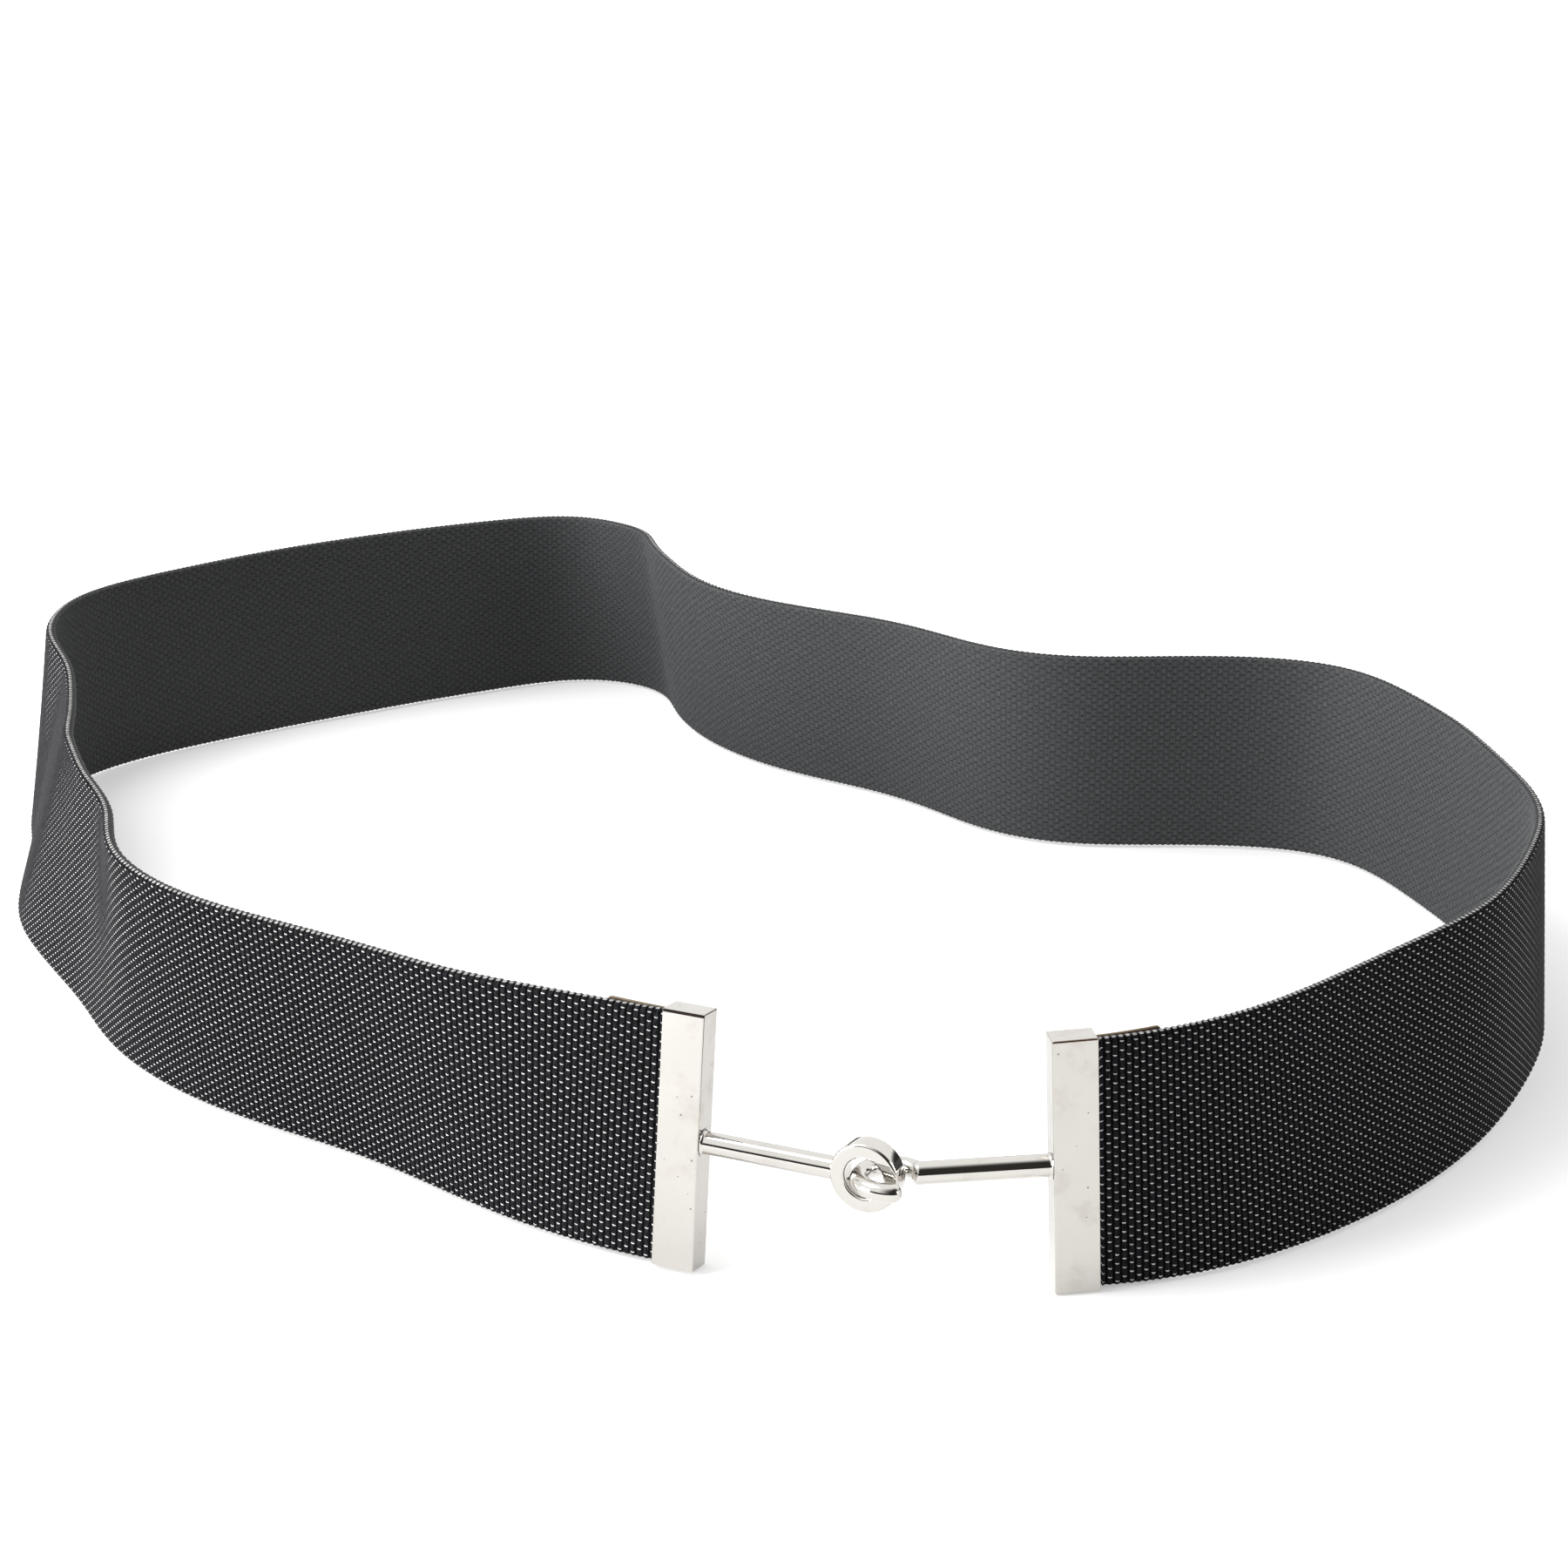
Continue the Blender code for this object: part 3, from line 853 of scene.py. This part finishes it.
@dataclass
class Webbing:
    """The strap, in arcs of closed woven surface that overlap by half a rib where they meet."""

    line: BeltLine
    ribs: int = 752
    rib_step: float = 0.5          # in ribs, between two grid lines along the webbing
    arcs: int = 4
    samples_per_pinch: int = 4
    edge_round: float = 0.7 * MM
    rib_height: float = 0.28 * MM
    pinch_depth: float = 0.23 * MM
    pinch_reach: float = 0.18      # in pinches
    scallop: float = 0.14 * MM
    scallop_reach: float = 0.9 * MM
    tongue: float = 2.4 * MM
    tongue_inset: float = 1.05 * MM
    tuck: float = 0.06 * MM        # how far an arc's end lies under the next arc's face
    rib_power: float = 1.6         # how full a rib's profile is
    rib_middle: float = 0.55       # height of a rib that lies level with the flat face
    edge_levels: tuple[float, ...] = (0.04, 0.14, 0.3)    # extra grid lines, in rounded edges

    def levels(self) -> np.ndarray:
        """Lay the grid's lines up one face, closer together at the rounded edges.

        Returns:
            Their heights.
        """
        count = round(PINCHES * self.samples_per_pinch)
        even = np.linspace(0.0, self.line.width, count + 1)
        close = self.edge_round * np.array(self.edge_levels)
        return np.unique(np.concatenate((even, close, self.line.width - close)))

    def groove(self, ribs_along: np.ndarray) -> np.ndarray:
        """How far a rib's profile has sunk: a power of the distance from its crest, 1 in the gap."""
        return np.abs(2 * (ribs_along - np.floor(ribs_along) - 0.5)) ** self.rib_power

    def relief(self, ribs_along: np.ndarray, level: np.ndarray, side: Side) -> np.ndarray:
        """Height of the weave above the flat face.

        A rib's profile is one minus a power of the distance from its crest. A bell-shaped
        pinch is taken out of it at each thread, half a step apart on neighbouring ribs.

        Args:
            ribs_along: distance along in ribs, a column.
            level: height up the webbing, a row.
            side: which face.

        Returns:
            Metres above the face, on the grid of the two.
        """
        rib = 1 - self.groove(ribs_along)
        odd = np.mod(np.floor(ribs_along) + (side is Side.INNER), 2)
        steps = level / self.line.width * PINCHES + 0.5 * odd
        off = steps - np.round(steps)
        pinch = np.exp(-((off / self.pinch_reach) ** 2))
        return self.rib_height * (rib - self.rib_middle) - self.pinch_depth * pinch * rib

    def places(self, number: int) -> tuple[np.ndarray, np.ndarray, np.ndarray]:
        """Where an arc's sections stand: two to a rib, with a narrower tongue in each bar.

        Args:
            number: which arc, from 0.

        Returns:
            Distance along the webbing, the same in ribs, and how far each section is drawn in.
        """
        per_arc = self.ribs // self.arcs
        tucked = np.array((number > 0, number < self.arcs - 1))
        first, last = np.array((number, number + 1)) * per_arc + (-self.rib_step, self.rib_step) * tucked
        ribs_along = np.arange(first, last + self.rib_step / 2, self.rib_step)
        distance = ribs_along * (self.line.length / self.ribs)
        inset = np.zeros(len(distance))
        inset[[0, -1]] = self.tuck * tucked
        if number == 0:
            distance = np.concatenate(([-self.tongue, 0.0], distance[1:]))
            ribs_along = np.concatenate(([0.0], ribs_along))
            inset = np.concatenate(([self.tongue_inset] * 2, inset[1:]))
        if number == self.arcs - 1:
            distance = np.concatenate((distance[:-1], [self.line.length, self.line.length + self.tongue]))
            ribs_along = np.concatenate((ribs_along, ribs_along[-1:]))
            inset = np.concatenate((inset[:-1], [self.tongue_inset] * 2))
        return distance, ribs_along[:, None], inset[:, None]

    def arc(self, number: int) -> Shell:
        """One arc: a rounded, ribbed section carried along the line.

        At each place the section goes up the outer face and down the inner one. Its half
        thickness is a quarter ellipse near each edge, the weave's relief is added along the
        normal, and the edge itself is scalloped: ribs stand out and gaps go in. Where two arcs
        meet, each runs on half a rib under the other's face, so that no seam shows.

        Args:
            number: which arc, from 0.

        Returns:
            The closed shell with its weave map and a finish number for each face.
        """
        distance, ribs_along, inset = self.places(number)
        level = self.levels()
        width = self.line.width
        near = np.minimum(level, width - level)
        pull = np.exp(-((near / self.scallop_reach) ** 2)) * np.sign(width / 2 - level)
        height = inset + level * (1 - 2 * inset / width) + self.scallop * pull * self.groove(ribs_along)
        flat = self.line.thickness / 2 - np.minimum(inset, self.tuck)
        bow = quarter_round(near / self.edge_round)
        outer, inner = (
            self.line.surface(
                distance, height, side.value * bow * (flat + self.relief(ribs_along, level, side)))
            for side in Side
        )
        sections = np.concatenate((outer, inner[:, -2:0:-1]), axis=1)
        rows, columns = sections.shape[:2]
        top = len(level) - 1
        steps = np.concatenate((level, level[-2:0:-1])) / width * PINCHES
        shell = carried(sections, top)
        shell.lattice = np.stack(np.broadcast_arrays(ribs_along, steps), axis=-1).reshape(-1, 2)
        shell.finish = np.zeros(len(shell.quads) + len(shell.triangles), int)
        shell.finish[:(rows - 1) * columns] = np.tile(np.arange(columns) >= top, rows - 1)
        return shell.outward()

    def build(self, tabs: dict[End, bpy.types.Object]) -> list[bpy.types.Object]:
        """Args:
            tabs: the leather tabs; not used.

        Returns:
            The arcs.
        """
        outer = WovenFace(
            name="black_woven_webbing_outer", yarn_dark="#040404", yarn_light="#2b2b2f", thread_and_painted_pit_shade="#c8c8c6",
            thread_half_width=0.28, thread_half_height=0.072, step_shift=0.0,
            roughness=0.6, specular=0.02, sheen=0.16,
        ).build()
        # inner face: its dark dashes are painted shade in the pinched pits, and its gaps between ribs get
        # painted shade too
        inner = WovenFace(
            name="grey_woven_webbing_inner", yarn_dark="#313232", yarn_light="#494a4c", thread_and_painted_pit_shade="#2d2e2f",
            thread_half_width=0.34, thread_half_height=0.13, step_shift=1.0,
            roughness=0.7, specular=0.2, sheen=0.05, painted_gap_shade=0.72,
        ).build()
        pieces = []
        for number in range(self.arcs):
            piece = piece_from(f"webbing_arc_{number + 1}", self.arc(number), [outer, inner])
            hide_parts("webbing")
            pieces.append(piece)
        return pieces


@dataclass
class LeatherTab:
    """A strip of leather flat against the webbing's inner side, beside a bar."""

    line: BeltLine
    end: End
    thickness: float = 1.0 * MM
    length: float = 10.6 * MM
    free_drop: float = 0.08 * MM
    bar_drop: float = 0.42 * MM
    corner: float = 0.7 * MM
    gap: float = 0.3 * MM
    edge_power: float = 5.0
    least_taper: float = 0.02    # square of the ends' thickness, as a share of the tab's
    sections: int = 28
    points_round: int = 96

    def build(self) -> bpy.types.Object:
        """Make the tab: a rounded slab whose section is a flat superellipse carried along the line.

        Returns:
            The tab, which stands for its solid.
        """
        share = (1 - np.cos(np.linspace(0, math.pi, self.sections))) / 2
        if self.end is End.RING:
            begin, to_free = self.gap, 1 - share
        else:
            begin, to_free = self.line.length - self.length - self.gap, share
        angle = np.linspace(0, 2 * math.pi, self.points_round, endpoint=False)
        thin, tall = (
            np.sign(turn) * np.abs(turn) ** (2 / self.edge_power) for turn in (np.sin(angle), np.cos(angle))
        )
        to_end = np.minimum(share, 1 - share) * self.length
        taper = quarter_round(to_end / (self.thickness / 2), self.least_taper)
        cut = 1 - quarter_round(to_free * self.length / self.corner)
        top = -self.free_drop - (self.bar_drop - self.free_drop) * to_free - self.corner * cut
        height = self.line.width / 2 * (1 + tall) + np.clip(tall, 0, 1) * top[:, None]
        offset = -(self.line.thickness / 2 + self.gap + self.thickness / 2)
        reach = offset + self.thickness / 2 * thin * taper[:, None]
        sections = self.line.surface(begin + share * self.length, height, reach)
        shell = carried(sections, self.points_round // 2).outward()
        piece = piece_from(f"leather_{self.end.value}", shell, [CutLeather().build()])
        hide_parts(f"leather_tab_{self.end.value}")
        return piece


@dataclass
class Clasp:
    """Ring and hook on their rods, each one soldered piece of bright metal."""

    line: BeltLine
    ring_edge: float = 0.45 * MM
    rod_end_round: float = 0.8 * MM
    solder_reach: float = 0.5 * MM
    solder_swell: float = 0.42 * MM
    solder_steps: int = 8
    seam_step: float = 0.01 * MM      # keeps two sections of a rod from lying in one place
    root_cover: float = 1.0 * MM
    tip_share: float = 0.08           # of the hook's arc, drawn with closer sections
    arc_steps: int = 90
    tip_steps: int = 30
    least_radius: float = 0.02        # square of the tip's last radius, in wire radii
    hook_sweep: float = 262.0
    sides: int = 64
    ring_steps: int = 192
    corner_steps: int = 8

    def at_height(self, plan_points: np.ndarray) -> np.ndarray:
        """Plan points of the clasp, lifted to the rods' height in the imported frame."""
        return plan_points + self.line.shift + UP * self.line.clasp.bar_height / 2

    def tube(self, centres: np.ndarray, radii: np.ndarray) -> Shell:
        """Round bar along a level path: a circle carried along it, with a point at each end.

        Args:
            centres: points of the path.
            radii: the circle's radius at each.

        Returns:
            The closed shell.
        """
        ways = np.gradient(centres, axis=0)
        ways /= np.linalg.norm(ways, axis=1)[:, None]
        across = np.cross(ways, UP)
        angle = np.linspace(0, 2 * math.pi, self.sides, endpoint=False)[:, None]
        circle = across[:, None] * np.cos(angle) + UP * np.sin(angle)
        points = (centres[:, None] + circle * radii[:, None, None]).reshape(-1, 3)
        rows = len(centres)
        here = np.arange(self.sides)
        after = (here + 1) % self.sides
        last = (rows - 1) * self.sides
        start, end = np.full(self.sides, len(points)), np.full(self.sides, len(points) + 1)
        triangles = np.vstack((np.column_stack((start, after, here)),
                               np.column_stack((end, last + here, last + after))))
        shell = Shell(np.vstack((points, centres[:1], centres[-1:])),
                      grid_quads(rows, self.sides, wrap_columns=True), triangles)
        return shell.outward()

    def washer(self) -> Shell:
        """The ring: a rectangle with rounded corners, turned about the ring's level axis.

        Returns:
            The closed shell.
        """
        plan = self.line.clasp
        half = plan.ring_thickness / 2 - self.ring_edge
        quarter = np.linspace(0, math.pi / 2, self.corner_steps)
        rim, hole = plan.ring_radius - self.ring_edge, plan.hole_radius + self.ring_edge
        corners = ((rim, half), (hole, half), (hole, -half), (rim, -half))
        turns = [quarter + k * math.pi / 2 for k in range(4)]
        radius = np.concatenate([r + self.ring_edge * np.cos(t) for (r, _), t in zip(corners, turns)])
        depth = np.concatenate([d + self.ring_edge * np.sin(t) for (_, d), t in zip(corners, turns)])
        turn = np.linspace(0, 2 * math.pi, self.ring_steps, endpoint=False)[:, None, None]
        spoke = plan.ring_way * np.cos(turn) + UP * np.sin(turn)
        axis = np.cross(UP, plan.ring_way)
        centre = self.at_height(plan.ring_centre)
        points = centre + spoke * radius[None, :, None] + axis * depth[None, :, None]
        quads = grid_quads(self.ring_steps, len(radius), wrap_rows=True, wrap_columns=True)
        return Shell(points.reshape(-1, 3), quads).outward()

    def rod(self, foot: np.ndarray, way: np.ndarray, ends: np.ndarray, end_radii: np.ndarray) -> Shell:
        """A rod from its seat in a bar, with a fillet of solder: a quarter circle from the bar to the rod.

        Args:
            foot: plan position of the bar's far side, from which the rod is measured.
            way: the rod's direction.
            ends: distances of the sections at its other end.
            end_radii: its radius at each of them.

        Returns:
            The closed shell.
        """
        plan = self.line.clasp
        turn = np.linspace(0, math.pi / 2, self.solder_steps)
        fillet = plan.bar_width + self.solder_reach * (1 - np.cos(turn))
        fillet[0] += self.seam_step
        reach = np.concatenate(([plan.bar_width - plan.rod_seat, plan.bar_width], fillet, ends))
        swollen = plan.rod_radius + self.solder_swell * (1 - np.sin(turn))
        radii = np.concatenate(([plan.rod_radius] * 2, swollen, end_radii))
        return self.tube(self.at_height(foot + way * reach[:, None]), radii)

    def ring_rod(self) -> Shell:
        """The ring's rod, whose other end is soldered into the ring's rim.

        Returns:
            The closed shell.
        """
        plan = self.line.clasp
        rim = plan.bar_width + plan.ring_rod_length + (plan.ring_radius - plan.hole_radius) / 2
        return self.rod(plan.ring_bar, plan.ring_way, np.array([rim]), np.array([plan.rod_radius]))

    def hook_rod(self) -> Shell:
        """The hook's rod, whose other end is rounded and covers the wire's root.

        Returns:
            The closed shell.
        """
        plan = self.line.clasp
        quarter = np.linspace(math.pi / 2, 0, self.corner_steps)
        free_end = plan.bar_width + plan.hook_rod_length + self.root_cover
        ends = free_end - self.rod_end_round * (1 - np.cos(quarter))
        end_radii = plan.rod_radius - self.rod_end_round * (1 - np.sin(quarter))
        return self.rod(plan.hook_bar, plan.hook_way, ends, end_radii)

    def hook_wire(self) -> Shell:
        """The hook: a circle carried round an arc, smaller and smaller at the rounded tip.

        Returns:
            The closed shell.
        """
        plan = self.line.clasp
        share = np.concatenate((np.linspace(0, 1 - self.tip_share, self.arc_steps, endpoint=False),
                                np.linspace(1 - self.tip_share, 1.0, self.tip_steps)))
        angle = np.radians(plan.root_angle + self.hook_sweep * share)
        around = np.column_stack((np.cos(angle), np.sin(angle), np.zeros_like(angle)))
        to_tip = math.radians(self.hook_sweep) * (1 - share) * plan.hook_radius
        radii = plan.wire_radius * quarter_round(to_tip / plan.wire_radius, self.least_radius)
        return self.tube(self.at_height(plan.hook_centre + around * plan.hook_radius), radii)

    def build(self) -> list[bpy.types.Object]:
        """Make both pieces in bright-polished metal.

        Returns:
            The ring with its rod, and the hook with its rod.
        """
        finish = PolishedMetal(
            name="bright_polished_silver_metal", colour="#c6c3be", roughness=0.05, roughness_spread=0.02,
            haze=Cloud(3.0, 3.0), scratches=Cloud(1.5, 4.0, 0.75), scratch_depth=0.001 * MM, pit_size=0.03,
            stain_colour="#bdb9b3",
        ).build()
        pieces = []
        for name, shells in (("ring_and_rod", [self.washer(), self.ring_rod()]),
                             ("hook_and_rod", [self.hook_rod(), self.hook_wire()])):
            piece = piece_from(name, join(shells), [finish])
            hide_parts(name.replace("_and", ""))
            pieces.append(piece)
        return pieces


@dataclass
class EndBars:
    """The two rectangular bars, whose solids are shown as they are."""

    line: BeltLine
    # painted dark reflections along the bars' front top edges: colour, and how far each reaches down
    ring_reflection_line: tuple[str, float] = ("#2a2421", 0.36 * MM)    # colour, and how far it reaches down
    hook_reflection_line: tuple[str, float] = ("#7d6c60", 0.12 * MM)

    def build(self) -> list[bpy.types.Object]:
        """Dress both bars in satin-polished metal.

        Returns:
            The bars.
        """
        plan = self.line.clasp
        half = plan.bar_height / 2
        _, _, rises, _ = self.line.frames(np.array((0.0, self.line.length)))
        bars = []
        for end, near, way, rise, (reflection_colour, wide) in (
            (End.RING, plan.ring_bar, plan.ring_way, rises[0], self.ring_reflection_line),
            (End.HOOK, plan.hook_bar, plan.hook_way, rises[1], self.hook_reflection_line),
        ):
            front = np.cross(way, UP)
            front = front * -np.sign(front[1])
            middle = near + way * plan.bar_width / 2 + self.line.shift + UP * half
            # each bar's finish carries a painted dark reflection along its front top edge
            finish = PolishedMetal(
                name=f"satin_polished_silver_metal_{end.value}", colour="#bfbcb7", roughness=0.2,
                roughness_spread=0.05, haze=Cloud(5.0, 3.0), scratches=Cloud(0.9, 4.0, 0.75),
                scratch_depth=0.004 * MM,
                line=PaintedReflectionLine(reflection_colour, tuple(front), tuple(rise), float(middle @ rise) + half - wide),
            ).build()
            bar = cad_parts[f"end_bar_{end.value}"]
            if not bar.material_slots:
                bar.data.materials.append(finish)
            for holder in bar.material_slots:
                holder.material = finish
            bars.append(bar)
            LOG.info("%s: dressed", bar.name)
        return bars


@dataclass(frozen=True)
class DimPatch:
    """A round dark stretch of the room, which shows as a band in the metal."""

    azimuth: float      # degrees to the right of the front
    elevation: float    # degrees
    reach: float        # degrees from its middle to its outer edge
    blur: float         # degrees over which it fades

    def way(self) -> tuple[float, float, float]:
        """Unit vector to its middle."""
        across, up = math.radians(self.azimuth), math.radians(self.elevation)
        return math.sin(across) * math.cos(up), -math.cos(across) * math.cos(up), math.sin(up)

    def share(self, add: Adder, look: Socket) -> Socket:
        """How much of the patch lies in a direction.

        Args:
            add: adds a node to the world.
            look: the direction.

        Returns:
            1 within the patch, 0 outside it.
        """
        toward = add("VectorMath", look, self.way(), output="Value", operation="DOT_PRODUCT")
        outer, inner = (math.cos(math.radians(r)) for r in (self.reach, self.reach - self.blur))
        return add("MapRange", toward, outer, inner, **SMOOTH)


@dataclass(frozen=True)
class Lamp:
    """A square soft light that looks at the middle of the belt."""

    name: str
    place: tuple[float, float, float]
    size: float     # of its side
    power: float    # in watts

    def build(self) -> None:
        """Hang it."""
        light = bpy.data.lights.new(self.name, "AREA")
        light.size = self.size
        light.energy = self.power
        lamp = placed(self.name, light)
        lamp.location = self.place
        lamp.rotation_euler = (-Vector(self.place)).to_track_quat("-Z", "Y").to_euler()


@dataclass
class Studio:
    """Plain pale floor, soft light and the camera."""

    floor_half: float = 6.0
    lens: float = 78.7
    sensor: float = 36.0
    pitch: float = 19.18
    camera_from_ring_foot: tuple[float, float] = (18.30 * MM, -446.18 * MM)
    camera_height: float = 228.5 * MM
    clip: tuple[float, float] = (0.01, 50.0)
    dim_patches: tuple[DimPatch, ...] = (
        DimPatch(azimuth=35.0, elevation=22.0, reach=70.0, blur=36.0),    # the band in the hook's rod
        DimPatch(azimuth=130.0, elevation=6.0, reach=18.0, blur=8.0),     # the dark end of the ring's rim
    )
    dim_colour: str = "#33322f"
    low_band: tuple[float, float, float, float] = (0.0, 0.02, 0.26, 0.4)    # the line in the ring's rod
    low_band_front: tuple[float, float] = (0.2, 0.7)    # how far to the front it begins, and is full
    white: str = "#ffffff"
    room_strength: float = 1.36
    floor_colour: str = "#d8d8d8"
    floor_roughness: float = 0.9
    floor_glow: float = 0.37
    lamps: tuple[Lamp, ...] = (
        Lamp("key_left", (-0.95, -0.35, 0.16), size=0.5, power=19.0),
        Lamp("soft_top_left", (-0.5, 0.0, 0.85), size=0.5, power=6.0),
        Lamp("fill_right", (0.95, -0.5, 0.35), size=0.6, power=2.0),
    )

    def floor(self) -> None:
        """A pale, matt floor at the belt's foot."""
        h = self.floor_half
        mesh = bpy.data.meshes.new("floor")
        mesh.from_pydata([(-h, -h, 0), (h, -h, 0), (h, h, 0), (-h, h, 0)], [], [(0, 1, 2, 3)])
        floor = placed("floor", mesh)
        material, _, shader = new_material("matt_white_floor")
        feed(shader, {
            "Base Color": linear(self.floor_colour),
            "Roughness": self.floor_roughness,
            "Emission Color": linear(self.white),
            "Emission Strength": self.floor_glow,
        })
        mesh.materials.append(material)

    def surroundings(self) -> None:
        """A white room with a few dim stretches, which the metal mirrors."""
        world = bpy.data.worlds.new("studio")
        world.use_nodes = True
        add = partial(add_node, world.node_tree)
        way = add("TexCoord", output="Generated")
        height = add("SeparateXYZ", way, output=2)
        foot, full, fading, top = self.low_band
        low = add("MapRange", height, foot, full, **SMOOTH)
        high = add("MapRange", height, fading, top, 1.0, 0.0, **SMOOTH)
        band = add("Math", low, high, operation="MULTIPLY")
        front = add("VectorMath", way, (0.0, -1.0, 0.0), output="Value", operation="DOT_PRODUCT")
        front = add("MapRange", front, *self.low_band_front, **SMOOTH)
        dim = add("Math", band, front, operation="MULTIPLY")
        for patch in self.dim_patches:
            dim = add("Math", dim, patch.share(add, way), operation="MAXIMUM")
        white = linear(self.white)
        room = add("Mix", dim, links={6: white, 7: linear(self.dim_colour)}, **TWO_COLOURS)
        seen = add("LightPath", output="Is Camera Ray")
        shown = add("Mix", seen, links={6: room, 7: white}, **TWO_COLOURS)
        feed(world.node_tree.nodes["Background"], {"Color": shown, "Strength": self.room_strength})
        bpy.context.scene.world = world

    def camera(self, line: BeltLine) -> None:
        """The photograph's viewpoint: level across, looking along +Y and down.

        Args:
            line: the belt's line, whose shift is the foot of the ring-side bar.
        """
        data = bpy.data.cameras.new("camera")
        data.lens = self.lens
        data.sensor_width = self.sensor
        data.clip_start, data.clip_end = self.clip
        camera = placed("camera", data)
        x, y = self.camera_from_ring_foot
        camera.location = (line.shift[0] + x, line.shift[1] + y, self.camera_height)
        camera.rotation_euler = (math.radians(90 - self.pitch), 0.0, 0.0)
        bpy.context.scene.camera = camera

    def build(self, line: BeltLine) -> None:
        """Set the whole studio.

        Args:
            line: the belt's line.
        """
        self.floor()
        for lamp in self.lamps:
            lamp.build()
        self.surroundings()
        self.camera(line)
        bpy.context.scene.view_settings.view_transform = "Standard"


def main() -> None:
    """Build and dress the belt, then set the studio."""
    logging.basicConfig(level=logging.INFO, format="%(message)s")
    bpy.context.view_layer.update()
    line = BeltLine()
    LOG.info("line: shifted by %s mm", np.round(line.shift / MM, 3).tolist())
    tabs = {end: LeatherTab(line, end).build() for end in End}
    Webbing(line).build(tabs)
    Clasp(line).build()
    EndBars(line).build()
    Studio().build(line)


if __name__ == "__main__":
    main()
